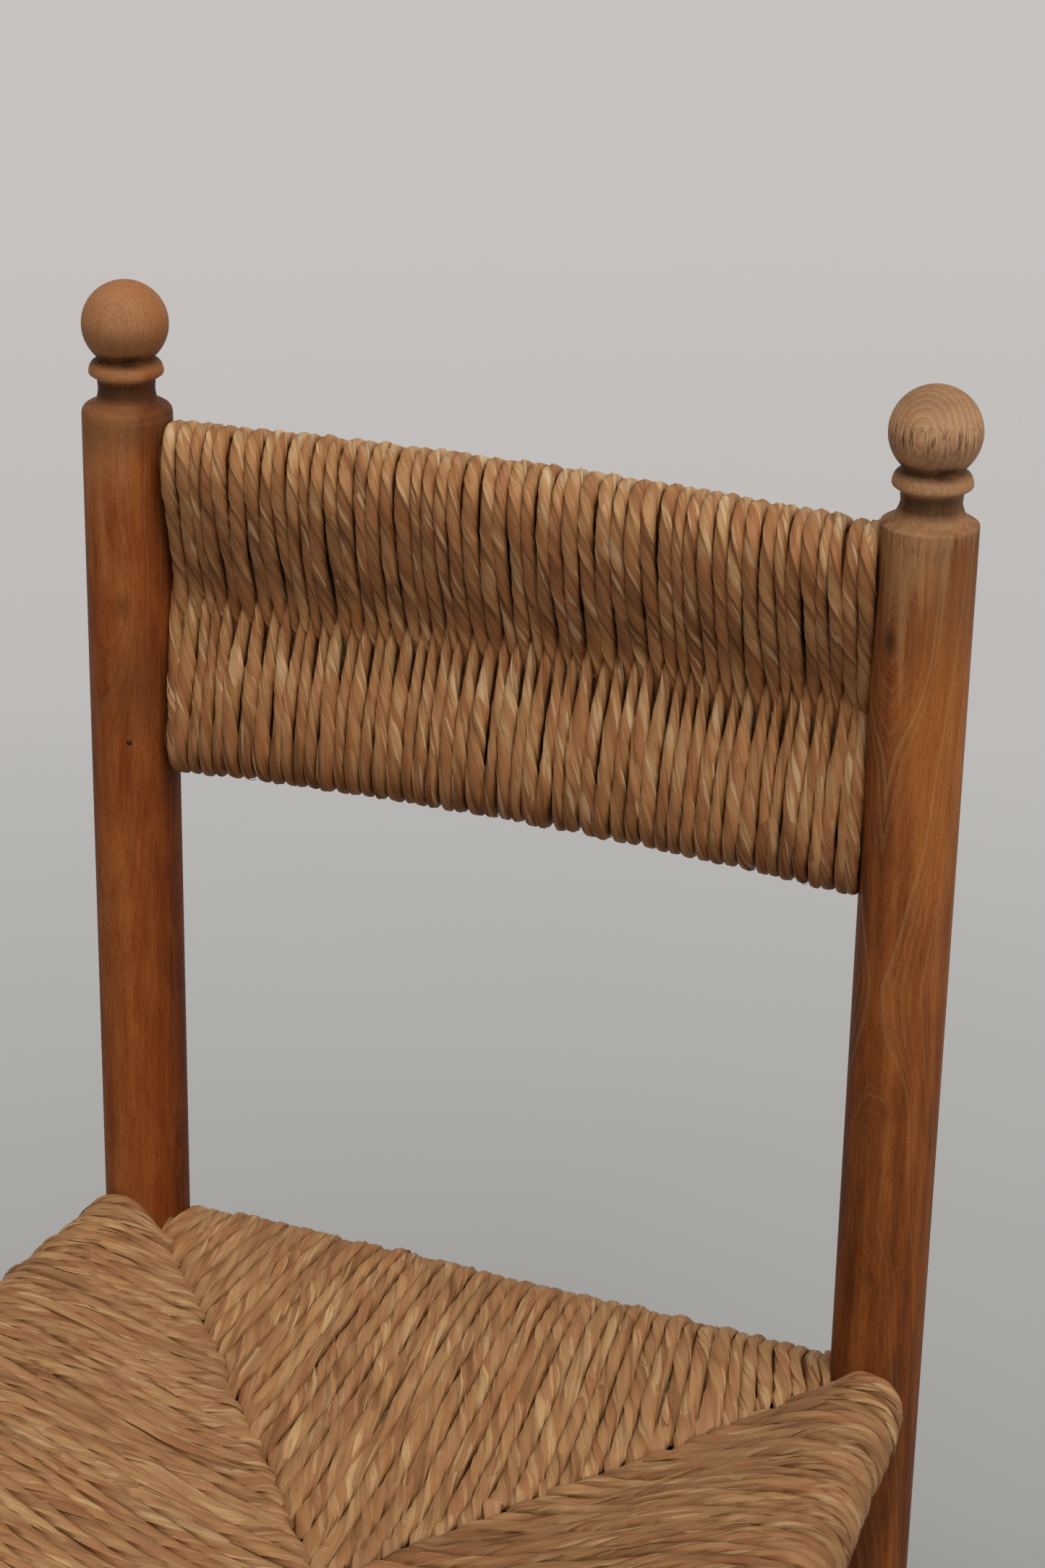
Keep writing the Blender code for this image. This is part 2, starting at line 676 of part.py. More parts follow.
def build_chair():
    wood = make_material("stained_beech", (0.33, 0.155, 0.07), 0.5)
    dark_wood = make_material("stained_beech_rail", (0.27, 0.12, 0.055), 0.55)
    rush = make_material("rush", (0.45, 0.28, 0.14), 0.75)
    straw = make_material("straw", (0.55, 0.42, 0.22), 0.9)
    steel = make_material("nail_steel", (0.16, 0.14, 0.13), 0.6, 0.8)

    posts = [Leg(post_point, side, RAKED, POST_RADIUS) for side in (LEFT, RIGHT)]
    legs = [Leg(leg_point, side, UP, LEG_RADIUS) for side in (LEFT, RIGHT)]
    uprights = {
        "front": (legs[0], legs[1]),
        "back": (posts[0], posts[1]),
        "left": (legs[0], posts[0]),
        "right": (legs[1], posts[1]),
    }

    body = [(SEAT_RAIL_RADIUS, 0), (SEAT_RAIL_RADIUS, 1)]
    for place, height in (("front", END_RAIL_HEIGHT), ("back", END_RAIL_HEIGHT),
                          ("left", SIDE_RAIL_HEIGHT), ("right", SIDE_RAIL_HEIGHT)):
        add_tenoned_bar("seat_rail_" + place, dark_wood, uprights[place], height, body,
                        SEAT_TENON_DIAMETER / 2, SEAT_TENON_LENGTH, RAIL_SIDES)

    for name, place, height in (
            ("stretcher_front_lower", "front", FRONT_LOWER_HEIGHT),
            ("stretcher_front_upper", "front", FRONT_UPPER_HEIGHT),
            ("stretcher_left_lower", "left", SIDE_LOWER_HEIGHT),
            ("stretcher_left_upper", "left", SIDE_UPPER_HEIGHT),
            ("stretcher_right_lower", "right", SIDE_LOWER_HEIGHT),
            ("stretcher_right_upper", "right", SIDE_UPPER_HEIGHT),
            ("stretcher_back", "back", BACK_STRETCHER_HEIGHT)):
        add_tenoned_bar(name, wood, uprights[place], height, stretcher_outline(),
                        STRETCHER_TENON_DIAMETER / 2, STRETCHER_TENON_LENGTH, STRETCHER_SIDES)

    add_backrest_rail("backrest_rail_upper", SIDE_RAIL_HEIGHT + UPPER_RAIL_RISE, posts, dark_wood)
    lower = add_backrest_rail("backrest_rail_lower", SIDE_RAIL_HEIGHT + LOWER_RAIL_RISE, posts,
                              dark_wood)

    for post, name in zip(posts, ("back_post_left", "back_post_right")):
        post.object = add_back_post(name, post, wood)
    for leg, name in zip(legs, ("front_leg_left", "front_leg_right")):
        add_front_leg(name, leg, wood)
    add_pin("backrest_pin_left", posts[0], lower, steel)

    add_backrest_rush("backrest_rush", posts, rush)
    panels = seat_panels()
    add_seat_rush("seat_rush", panels, posts + legs, rush)
    for place, panel in panels.items():
        add_object("seat_stuffing_" + place, panel.wedge(0), straw)


clear_scene()
build_chair()
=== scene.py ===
"""Looks of a rush-seated side chair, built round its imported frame.

Sizes are in metres, +Z is up and the chair faces -Y. Left is -X, the side on the left of someone
who looks at the chair's front.
"""

import math

import bmesh
import bpy
import numpy as np
from mathutils import Matrix, Vector


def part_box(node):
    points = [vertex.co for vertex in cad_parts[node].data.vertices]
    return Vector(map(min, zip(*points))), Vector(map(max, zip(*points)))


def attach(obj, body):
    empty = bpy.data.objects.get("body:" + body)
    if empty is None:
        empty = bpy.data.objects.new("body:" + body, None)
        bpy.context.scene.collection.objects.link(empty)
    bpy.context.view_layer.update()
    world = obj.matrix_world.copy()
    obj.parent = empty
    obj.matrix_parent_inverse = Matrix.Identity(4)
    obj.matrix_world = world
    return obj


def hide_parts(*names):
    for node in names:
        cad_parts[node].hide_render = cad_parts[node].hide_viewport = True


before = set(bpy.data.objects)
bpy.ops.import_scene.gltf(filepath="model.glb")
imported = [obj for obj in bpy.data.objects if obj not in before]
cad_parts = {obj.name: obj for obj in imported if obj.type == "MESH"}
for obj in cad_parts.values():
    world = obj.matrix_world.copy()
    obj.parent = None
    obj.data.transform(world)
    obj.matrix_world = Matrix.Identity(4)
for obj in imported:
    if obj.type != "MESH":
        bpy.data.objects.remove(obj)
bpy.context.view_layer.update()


def middle(node):
    low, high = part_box(node)
    return (low + high) / 2


def size(node):
    low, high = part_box(node)
    return high - low


# The chair's main sizes, read from the frame
RAKE = math.radians(2.54)
POST_X = -middle("back_post_left").x
POST_RADIUS = size("back_post_left").x / 2
SIDE_RAIL_HEIGHT = middle("seat_rail_left").z
END_RAIL_HEIGHT = middle("seat_rail_back").z
BACK_Y = middle("seat_rail_back").y + (SIDE_RAIL_HEIGHT - END_RAIL_HEIGHT) * math.tan(RAKE)
LEG_X = -middle("front_leg_left").x
FRONT_Y = middle("front_leg_left").y
LEG_RADIUS = size("front_leg_left").x / 2
SEAT_RAIL_RADIUS = size("seat_rail_back").z / 2
UPPER_RAIL_HEIGHT = middle("backrest_rail_upper").z
LOWER_RAIL_HEIGHT = middle("backrest_rail_lower").z
BACK_RAIL_RADIUS = size("backrest_rail_upper").z / 2
BACK_RAIL_BOW = size("backrest_rail_upper").y - size("backrest_rail_upper").z

# Finials, from the post's shoulder upwards
SHOULDER_RISE = 0.3996          # above the side seat rails' axis
NECK_RADIUS = 0.0125
NECK_COVE_HEIGHT = 0.0095
COLLAR_FLARE_HEIGHT = 0.0050
COLLAR_RADIUS = 0.0164
COLLAR_THICKNESS = 0.0070
COLLAR_PROFILE = ((0.83, 0.07), (0.94, 0.15), (0.985, 0.23), (1.005, 0.33), (1.0, 0.48),
                  (0.985, 0.64), (0.96, 0.80), (0.925, 0.93), (0.87, 1.04),
                  (0.80, 1.12))      # shares of its radius and thickness
COVE_SOFTNESS = 0.78            # 1 for a quarter of an ellipse
PINCH_RADIUS = 0.0122
PINCH_LENGTH = 0.0020
BALL_RADIUS = 0.01905
BALL_RISE = math.sqrt(BALL_RADIUS ** 2 - PINCH_RADIUS ** 2)     # from the pinch to its heart

# Distances along a back post
SHOULDER = SIDE_RAIL_HEIGHT / math.cos(RAKE) + SHOULDER_RISE
RIM = SHOULDER + NECK_COVE_HEIGHT + COLLAR_FLARE_HEIGHT
BALL_SEAT = RIM + COLLAR_THICKNESS + PINCH_LENGTH
BALL_HEART = BALL_SEAT + BALL_RISE

# Feet and leg tops
POST_FOOT_RADIUS = 0.016
POST_FOOT_TAPER = 0.090
LEG_FOOT_RADIUS = 0.0155
LEG_FOOT_TAPER = 0.120
FOOT_CHAMFER = 0.0015
LEG_TOP_RISE = 0.021            # edge of the rounded top, above the side seat rails' axis
LEG_CROWN_HEIGHT = 0.007

# Stretchers
STRETCHER_RADIUS = 0.00975
STRETCHER_END_RADIUS = 0.0065

# Nail in the left post
NAIL_HOLE_RADIUS = 0.0013
NAIL_HOLE_DEPTH = 0.0030
NAIL_TURN = math.radians(20.6)

# Rush cords
SEAT_CORD = 0.0070
BACK_CORD = 0.0065
SEAT_ROLL = SEAT_RAIL_RADIUS + SEAT_CORD
BACK_TURNS = 50
WEAVE_CENTRE_SETBACK = 0.190
SEAM_CORNER_RISE = 0.010
SEAM_CENTRE_DROP = 0.028
UNDERSEAM_CORNER_DROP = 0.026
SEAT_CENTRE_THICKNESS = 0.019
CORD_STEP = 0.0032              # between the rings of a cord
ROLL_STEPS = round(math.pi * SEAT_ROLL / CORD_STEP)     # halfway round a seat rail

# Backrest winding: cords narrow over these lengths where they cross at the waist
UPPER_SQUEEZE = 0.013
LOWER_SQUEEZE = 0.028
NARROWING = (0.18, 0.21)        # shares of a cord's place, above and below the crossing
WAIST_SHIFT = 0.0028            # sideways, of the crossings against the rails
WAIST_DROP = 0.0055             # of the crossings at the left post
WAIST_UNEVENNESS = 0.0012       # from cord to cord
WAIST_WAVE = 0.0018             # over groups of cords
BACK_WANDER = 0.0006
BACK_END_ZONE = 0.035           # beside each post, where the cords lie closer
BACK_BELLY = 0.0045
BACK_LEAN = (0.0042, 0.0023)    # sideways, of the front cords at the left and right posts
BACK_LAYS = 6.5                 # turns of twist in one figure of eight
BACK_LAY_CHANGE = 1.8           # more of them in the upper half and less in the lower
BACK_FOLD_SHARE = 0.30

# Seat cords
SEAT_SLIVERS = 13.0             # loose ones in a metre of cord
SEAM_SLOPE = 0.007              # the cords bend down this far before a seam
SEAM_DIVE = 0.0062              # and so deep at their tips
SEAM_TAPER = 0.008              # over this length they narrow to their tips
TIP_RANGE = (-0.0026, 0.0024)   # by which single tips reach farther
SEAT_WANDER = 0.0004

# Camera
CAMERA_PLACE = (0.54976, -1.08068, 1.32019)
CAMERA_YAW = math.radians(23.146)
CAMERA_PITCH = math.radians(24.74)
CAMERA_LENS = 80.22             # mm, on a 36 mm long side

# Floor, and light from above, the right and the front
FLOOR_RADIUS = 30
LIGHT_AIM = (-0.36, 0.34, -0.87)
LIGHT_STRENGTH = 2.35
LIGHT_SOFTNESS = math.radians(50)

WAVES = 3                       # that make up each unevenness

LEFT = -1
RIGHT = 1
UP = np.array((0.0, 0.0, 1.0))
CENTRE = np.array((0.0, BACK_Y - WEAVE_CENTRE_SETBACK, 0.0))
BACK_LEFT, BACK_RIGHT = (np.array((side * POST_X, BACK_Y, 0)) for side in (LEFT, RIGHT))
FRONT_LEFT, FRONT_RIGHT = (np.array((side * LEG_X, FRONT_Y, 0)) for side in (LEFT, RIGHT))


def blend(first, last, share):
    """Leaves the first value and reaches the last in one even S-curve."""
    return first + (last - first) * share * share * (3 - 2 * share)


def unit(vectors):
    return vectors / np.linalg.norm(vectors, axis=-1, keepdims=True)


def post_y(height):
    """Where the axes of the back posts are at this height."""
    return BACK_Y + (height - SIDE_RAIL_HEIGHT) * math.tan(RAKE)


def dot(first, second):
    return (first * second).sum(axis=-1, keepdims=True)


def wobble(rng, along, length):
    """A smooth random wave between about -1 and 1, with bumps of about this length."""
    total = np.zeros_like(along)
    for _ in range(WAVES):
        period = length * rng.uniform(0.7, 1.6)
        total += np.sin(along * math.tau / period + rng.uniform(0, math.tau))
    return total / math.sqrt(WAVES)


# Materials

RING_PITCH = 0.00156            # between two growth rings of the wood
RING_BEND = 0.012               # how far they wander
KNOT_SHAPE = (1.1, 1.1, 0.56)   # knots are drawn out along the wood
CLIMB_HEIGHT = 0.6              # where the stain has its own tone
GRAIN_LINE = (0.47, 0.26, 0.11)
# Pale worn wood for grain lines near the top, and painted highlight on edges
PALE_WEAR_AND_HIGHLIGHT = (0.56, 0.33, 0.16)


class Nodes:
    """A node tree, with short ways to add nodes to it."""

    def __init__(self, tree):
        self.tree = tree

    def add(self, kind, *inputs, output=0, **settings):
        """Add a node, fill its inputs in order with values or links, and return one output."""
        node = self.tree.nodes.new("ShaderNode" + kind)
        for name, value in settings.items():
            setattr(node, name, value)
        for socket, value in zip(node.inputs, inputs):
            self.fill(socket, value)
        return node.outputs[output]

    def fill(self, socket, value):
        if isinstance(value, bpy.types.NodeSocket):
            self.tree.links.new(value, socket)
        elif value is not None:
            socket.default_value = value

    def attribute(self, name, output="Vector"):
        return self.add("Attribute", attribute_name=name, output=output)

    def math(self, operation, *values):
        return self.add("Math", *values, operation=operation)

    def times(self, first, second):
        return self.math('MULTIPLY', first, second)

    def times_add(self, first, second, base):
        """The product of the first two, on top of the base."""
        return self.math('MULTIPLY_ADD', first, second, base)

    def minus(self, first, second):
        return self.math('SUBTRACT', first, second)

    def apart(self, first, second):
        return self.math('ABSOLUTE', self.minus(first, second))

    def larger(self, first, second):
        """The larger of two values, the first of which may be missing."""
        return second if first is None else self.math('MAXIMUM', first, second)

    def scaled(self, vector, scale):
        return self.add("VectorMath", vector, scale, operation='MULTIPLY')

    def distance(self, place, spot, scale):
        """From a place to a spot, with the axes stretched by the scale."""
        offset = self.add("VectorMath", place, spot, operation='SUBTRACT')
        return self.add("VectorMath", self.scaled(offset, scale), operation='LENGTH',
                        output="Value")

    def noise(self, place, scale, detail=2.0, roughness=0.5):
        """Soft noise; the scale is one number or one for each axis."""
        if isinstance(scale, tuple):
            place, scale = self.scaled(place, scale), 1.0
        return self.add("TexNoise", place, None, scale, detail, roughness)

    def cells(self, place, scale):
        """Three random numbers that each stay the same all over a cell."""
        cell = self.add("TexVoronoi", self.scaled(place, scale), None, 1.0, output="Color")
        return self.add("SeparateColor", cell).node.outputs

    def spread(self, value, low, high, first=0.0, last=1.0):
        """Map a range of values onto another, and stop at its ends."""
        return self.add("MapRange", value, low, high, first, last)

    def ramp(self, value, *stops):
        """Colours along a value: (place, colour) pairs."""
        node = self.add("ValToRGB", value).node
        points = node.color_ramp.elements
        while len(points) < len(stops):
            points.new(1.0)
        for point, (place, colour) in zip(points, stops):
            point.position = place
            point.color = (*colour, 1.0)
        return node.outputs[0]

    def mix(self, share, first, second, way='MIX'):
        node = self.add("Mix", share, data_type='RGBA', blend_type=way).node
        colours = [socket for socket in node.inputs if socket.type == 'RGBA']
        for socket, value in zip(colours, (first, second)):
            self.fill(socket, (*value, 1.0) if isinstance(value, tuple) else value)
        return [socket for socket in node.outputs if socket.type == 'RGBA'][0]

    def bump(self, height, distance, strength):
        return self.add("Bump", strength, distance, None, height)


class Shader(Nodes):
    """The nodes of a new material."""

    def __init__(self, name):
        self.material = bpy.data.materials.new(name)
        self.material.use_nodes = True
        super().__init__(self.material.node_tree)
        self.surface = self.tree.nodes["Principled BSDF"]

    def finish(self, colour, roughness, normal, specular):
        for name, value in (("Base Color", colour), ("Roughness", roughness),
                            ("Normal", normal), ("Specular IOR Level", specular)):
            self.fill(self.surface.inputs[name], value)
        return self.material


def rush_material(name, pale, light, base, dark, red, painted_crease_shade):
    """Twisted rush: long narrow facets of unlike colour, fine veins and folds between leaves."""
    shader = Shader(name)
    times, times_add, spread, mix = shader.times, shader.times_add, shader.spread, shader.mix
    place = shader.attribute("leaf_place")
    tint, fold, tone = (shader.attribute("leaf_" + key, "Fac") for key in ("tint", "fold", "tone"))
    wide = shader.cells(place, (300, 300, 34))
    narrow = shader.cells(place, (800, 800, 70))
    patches = shader.noise(place, (190, 190, 20))
    veins = shader.noise(place, (2600, 2600, 45), 3, 0.6)

    mixed = times_add(wide[0], 0.25, times(patches, 0.68))
    mixed = times_add(narrow[0], 0.16, mixed)
    mixed = times_add(tint, 0.14, mixed)
    mixed = shader.math('ADD', mixed, tone)
    colour = shader.ramp(mixed, (0.34, dark), (0.54, base), (0.76, light), (0.98, pale))
    colour = mix(spread(wide[1], 0.62, 0.95, 0, 0.60), colour, red)
    flakes = times(spread(narrow[1], 0.88, 0.92), spread(wide[2], 0.45, 0.55))
    colour = mix(times(flakes, 0.55), colour, pale)
    colour = mix(spread(veins, 0.30, 0.72, 0, 0.42), colour, (0.52, 0.42, 0.34), 'MULTIPLY')
    # Painted highlight on the lifted leaf edges; painted shade in the folds and where the tone is
    # low
    colour = mix(spread(fold, 1, 1.5, 0, 0.22), colour, light)
    shade = times(spread(fold, 0, 1, painted_crease_shade, 1), spread(tone, -0.15, 0, 0.62, 1))
    colour = mix(1, colour, shader.add("CombineColor", shade, shade, shade), 'MULTIPLY')
    roughness = spread(veins, 0.3, 0.7, 0.48, 0.70)
    height = times_add(wide[1], 0.9, times(veins, 0.8))
    height = times_add(narrow[2], 0.4, height)
    return shader.finish(colour, roughness, shader.bump(height, 0.0005, 0.6), specular=0.28)


def wood_material(name, tones, worn, top, pith=(0.004, 0.030), lean=0.05, ridge=None,
                  paler=0, side=(0, -1), shade=0, low_shade=1, climb=0, fresh=0,
                  stripes=0.3, rings=0.4, knots=(), ovals=None, marks=(), checks=()):
    """Stained beech, turned from stuff whose pith lies beside the piece.

    tones are dark, middle and light. The stain fades to worn between the two distances in top; on
    the right it stays fresh for that much longer. It is paler by this much all over, darker by
    shade away from one side as painted shade (low_shade is the share of that at the seat), and
    paler by climb for each metre up. ridge gives the growth rings pointed tips: the side they lie
    on, their width, their depth and the height they point to. A knot is its spot, its radius, how
    far it lifts the rings and how dark it is. ovals are the rings on the ball: their middle, how
    much taller than wide they are and how far apart. A mark is a belt of wear, dirt, painted shade
    or painted highlight: its distance along the piece, half its height, its strength and its
    colour. A check is a belt of short cracks: its two heights, its softness and its strength.
    """
    shader = Shader(name)
    times, times_add, minus = shader.times, shader.times_add, shader.minus
    spread, noise, mix = shader.spread, shader.noise, shader.mix
    place = shader.attribute("grain_place")
    x, y, z = shader.add("SeparateXYZ", place).node.outputs
    bend = noise(place, (16, 16, 5))
    across = minus(x, pith[0])
    deep = minus(y, pith[1])
    ring = shader.math('SQRT', times_add(across, across, times(deep, deep)))
    along = z
    if ridge:
        (first, second), width, depth, turning = ridge
        along = shader.apart(z, turning)
        aside = shader.math('ABSOLUTE', times_add(x, second, times(y, -first)))
        peak = shader.math('EXPONENT', shader.math('DIVIDE', aside, -width))
        ring = times_add(peak, depth, ring)
    ring = times_add(bend, RING_BEND, times_add(along, lean, ring))
    core = swirl = None
    for spot, radius, rise, darkness in knots:
        share = shader.math('DIVIDE', shader.distance(place, spot, KNOT_SHAPE), radius)
        hump = shader.math('EXPONENT', times(times(share, share), -1))
        ring = times_add(hump, rise, ring)
        core = shader.larger(core, spread(share, 0.06, 0.33, darkness, 0))
        swirl = shader.larger(swirl, times(hump, darkness))
    if ovals:
        spot, height, pitch = ovals
        distance = shader.distance(place, spot, (height, height, 1))
        oval = times(times_add(bend, RING_BEND, distance), RING_PITCH / pitch)
        above = spread(z, BALL_SEAT - 0.002, BALL_SEAT + 0.001)
        ring = times_add(above, minus(oval, ring), ring)
    count = shader.math('DIVIDE', ring, RING_PITCH)
    phase = shader.math('FRACT', count)
    chance = shader.add("TexWhiteNoise", None, shader.math('FLOOR', count), noise_dimensions='1D')
    late = times(spread(phase, 0, 0.62), spread(phase, 0.80, 1, 1, 0))
    late = times(shader.math('POWER', late, 1.6), chance)

    blotches = noise(place, (55, 55, 17), 4, 0.62)
    bands = noise(place, (210, 210, 8))
    streaks = noise(place, (800, 800, 50), 3, 0.6)
    rays = noise(place, (420, 420, 1500), 2, 0.6)
    pores = noise(place, (2300, 2300, 230))
    ticks = noise(place, (980, 980, 80), 2, 0.7)

    # The stain, and painted shade on the side away from side
    tone = times_add(bands, stripes, 0.18 - stripes / 2 + paler)
    tone = times_add(streaks, 0.20, tone)
    tone = times_add(blotches, 0.50, tone)
    # Painted shade: darker away from side; low_shade sets how much is left towards the seat
    facing = times_add(x, side[0], times(y, side[1]))
    darker = times(spread(facing, 0.004, 0.019, shade, 0),
                   spread(z, SHOULDER - 0.36, SHOULDER - 0.20, low_shade, 1))
    tone = minus(tone, darker)
    tone = times_add(minus(z, CLIMB_HEIGHT), climb, tone)
    tone = times_add(phase, -0.16 * rings, tone)
    dark, base, light = tones
    colour = shader.ramp(tone, (0.34, dark), (0.50, base), (0.70, light))

    # The worn top
    start, end = top
    fade = times_add(minus(blotches, 0.5), 0.16, z)
    uneven = spread(z, end - 0.01, end + 0.006, 0.5 * stripes, 0)
    fade = times_add(minus(bands, 0.5), uneven, fade)
    turned = times_add(x, 0.90, times(y, 0.43))
    held = times(spread(turned, 0, 0.012, 0, fresh), spread(z, end - 0.025, end, 1, 0))
    fade = minus(fade, held)
    warm = tuple(value * share for value, share in zip(worn, (0.92, 0.78, 0.58)))
    faded = mix(spread(z, end - 0.01, end + 0.03), warm, worn)
    faded = mix(spread(tone, 0.36, 0.66, 0.55, 0), faded, light)
    colour = mix(spread(fade, start, end), colour, faded)

    # Growth rings, rays, pores and knots
    lines = times(late, spread(z, 0.50, 0.85, 0.5 * rings, 2 * rings))
    line = mix(spread(z, end - 0.01, end + 0.02), GRAIN_LINE, PALE_WEAR_AND_HIGHLIGHT)
    colour = mix(lines, colour, line)
    growth = spread(z, end, end + 0.02, 0.10, 0.85 * rings + 0.22)
    if swirl:
        growth = times_add(swirl, 0.60, growth)
    growth = times(spread(phase, 0, 0.8), growth)
    for share, tint in ((growth, (0.62, 0.50, 0.40)),
                        (spread(rays, 0.52, 0.74, 0, 0.32), (0.50, 0.38, 0.30)),
                        (spread(pores, 0.54, 0.74, 0, 0.40), (0.38, 0.26, 0.20))):
        colour = mix(share, colour, tint, 'MULTIPLY')
    if core:
        colour = mix(core, colour, (0.055, 0.021, 0.009))

    for height, half, strength, mark in marks:
        belt = spread(shader.apart(z, height), 0.4 * half, half, strength, 0)
        belt = times(belt, spread(blotches, 0.36, 0.56, 0.45, 1))
        colour = mix(belt, colour, mark)
    for low, high, soft, strength in checks:
        band = times(spread(z, low - soft, low + soft), spread(z, high - soft, high + soft, 1, 0))
        cracks = times(spread(ticks, 0.50, 0.60, 0, strength), band)
        colour = mix(cracks, colour, (0.08, 0.036, 0.018))
    roughness = spread(shader.math('ADD', blotches, rays), 0.7, 1.3, 0.40, 0.58)
    grain = minus(streaks, times(spread(pores, 0.55, 0.75), 0.8))
    return shader.finish(colour, roughness, shader.bump(grain, 0.0003, 0.35), specular=0.05)


def straw_material():
    shader = Shader("packed_straw")
    place = shader.attribute("leaf_place")
    straws = shader.noise(place, (30, 420, 420), 3, 0.6)
    colour = shader.ramp(straws, (0.35, (0.12, 0.075, 0.03)), (0.52, (0.36, 0.25, 0.11)),
                         (0.7, (0.58, 0.45, 0.22)))
    return shader.finish(colour, 0.8, shader.bump(straws, 0.003, 1), specular=0.3)


def steel_material():
    shader = Shader("darkened_steel")
    spots = shader.noise(shader.add("TexCoord", output="Object"), 900, 3)
    colour = shader.ramp(spots, (0.35, (0.02, 0.016, 0.014)), (0.65, (0.10, 0.075, 0.06)))
    shader.surface.inputs["Metallic"].default_value = 0.8
    return shader.finish(colour, shader.spread(spots, 0.3, 0.7, 0.45, 0.75), None, specular=0.5)


def floor_material():
    """Pale studio floor, with painted shade that darkens it round the chair."""
    shader = Shader("studio_floor")
    place = shader.add("TexCoord", output="Object")
    reach = shader.add("VectorMath", place, operation='LENGTH', output="Value")
    cloud = shader.noise(place, 1.1, 3)
    reach = shader.times_add(shader.minus(cloud, 0.5), 0.5, reach)
    colour = shader.ramp(shader.spread(reach, 0, 4),
                         (0.13, (0.32, 0.315, 0.305)), (0.18, (0.38, 0.375, 0.36)),
                         (0.27, (0.425, 0.42, 0.41)), (0.46, (0.52, 0.51, 0.505)),
                         (0.90, (0.59, 0.562, 0.552)))
    grit = shader.noise(place, 260, 2)
    return shader.finish(colour, 0.85, shader.bump(grit, 0.0004, 0.2), specular=0.1)


# Turned wood

def turned_piece(node, outline, start, direction, material, sides=72, hole=None):
    """Turn (radius, distance) pairs into a piece in place of a node, cut level at the floor."""
    turn = Vector((0, 0, 1)).rotation_difference(direction)
    place = Matrix.Translation(start) @ turn.to_matrix().to_4x4()
    mesh = bmesh.new()
    rings = []
    for radius, distance in outline:
        ring = []
        for step in range(sides if radius > 0 else 1):
            angle = math.tau * step / sides
            point = Vector((radius * math.cos(angle), radius * math.sin(angle), distance))
            ring.append(mesh.verts.new(place @ point))
        rings.append(ring)
    for lower, upper in zip(rings, rings[1:]):
        for step in range(sides):
            after = (step + 1) % sides
            corners = [lower[step % len(lower)], lower[after % len(lower)],
                       upper[after % len(upper)], upper[step % len(upper)]]
            mesh.faces.new(list(dict.fromkeys(corners)))
    for ring in (rings[0], rings[-1]):
        if len(ring) > 1:
            mesh.faces.new(ring)
    if min(vertex.co.z for vertex in mesh.verts) < 0:
        everything = mesh.verts[:] + mesh.edges[:] + mesh.faces[:]
        bmesh.ops.bisect_plane(mesh, geom=everything, plane_co=(0, 0, 0), plane_no=(0, 0, 1),
                               clear_inner=True)
        bmesh.ops.contextual_create(mesh, geom=[e for e in mesh.edges if e.is_boundary])
    bmesh.ops.recalc_face_normals(mesh, faces=mesh.faces[:])
    name = "turned_" + node
    piece = place_piece(name, mesh_data(name, mesh), material, [node])
    if hole:
        drill(piece, *hole)
    back = place.inverted()
    add_attribute(piece.data, "grain_place", [back @ vertex.co for vertex in piece.data.vertices])
    piece.data.shade_smooth()
    piece.data.set_sharp_from_angle(angle=math.radians(38))


def mesh_data(name, mesh):
    data = bpy.data.meshes.new(name)
    mesh.to_mesh(data)
    mesh.free()
    return data


def add_object(name, data):
    thing = bpy.data.objects.new(name, data)
    bpy.context.scene.collection.objects.link(thing)
    return thing


def place_piece(name, data, material, replaces):
    piece = add_object(name, data)
    data.materials.append(material)
    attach(piece, "root")
    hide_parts(*replaces)
    return piece


def add_attribute(data, name, values):
    values = np.asarray(values, np.float32)
    kind, key = ('FLOAT', "value") if values.ndim == 1 else ('FLOAT_VECTOR', "vector")
    data.attributes.new(name, kind, 'POINT').data.foreach_set(key, values.ravel())


def drill(piece, start, end, radius):
    """Cut a small round hole from one point to another."""
    direction = (end - start).normalized()
    turn = Vector((0, 0, 1)).rotation_difference(direction)
    place = Matrix.Translation((start + end) / 2) @ turn.to_matrix().to_4x4()
    mesh = bmesh.new()
    bmesh.ops.create_cone(mesh, cap_ends=True, segments=16, radius1=radius, radius2=radius,
                          depth=(end - start).length, matrix=place)
    bit = add_object("drill", mesh_data("drill", mesh))
    boolean = piece.modifiers.new("hole", 'BOOLEAN')
    boolean.operation = 'DIFFERENCE'
    boolean.solver = 'EXACT'
    boolean.object = bit
    graph = bpy.context.evaluated_depsgraph_get()
    cut = bpy.data.meshes.new_from_object(piece.evaluated_get(graph))
    piece.modifiers.clear()
    piece.data = cut
    bpy.data.objects.remove(bit)


def rounded(steps, first, last):
    """Angles from the first to the last in equal steps."""
    return [first + (last - first) * step / steps for step in range(steps + 1)]


def foot_outline(foot, full, taper):
    return [(blend(foot, full, step / 12), taper * step / 12) for step in range(13)]


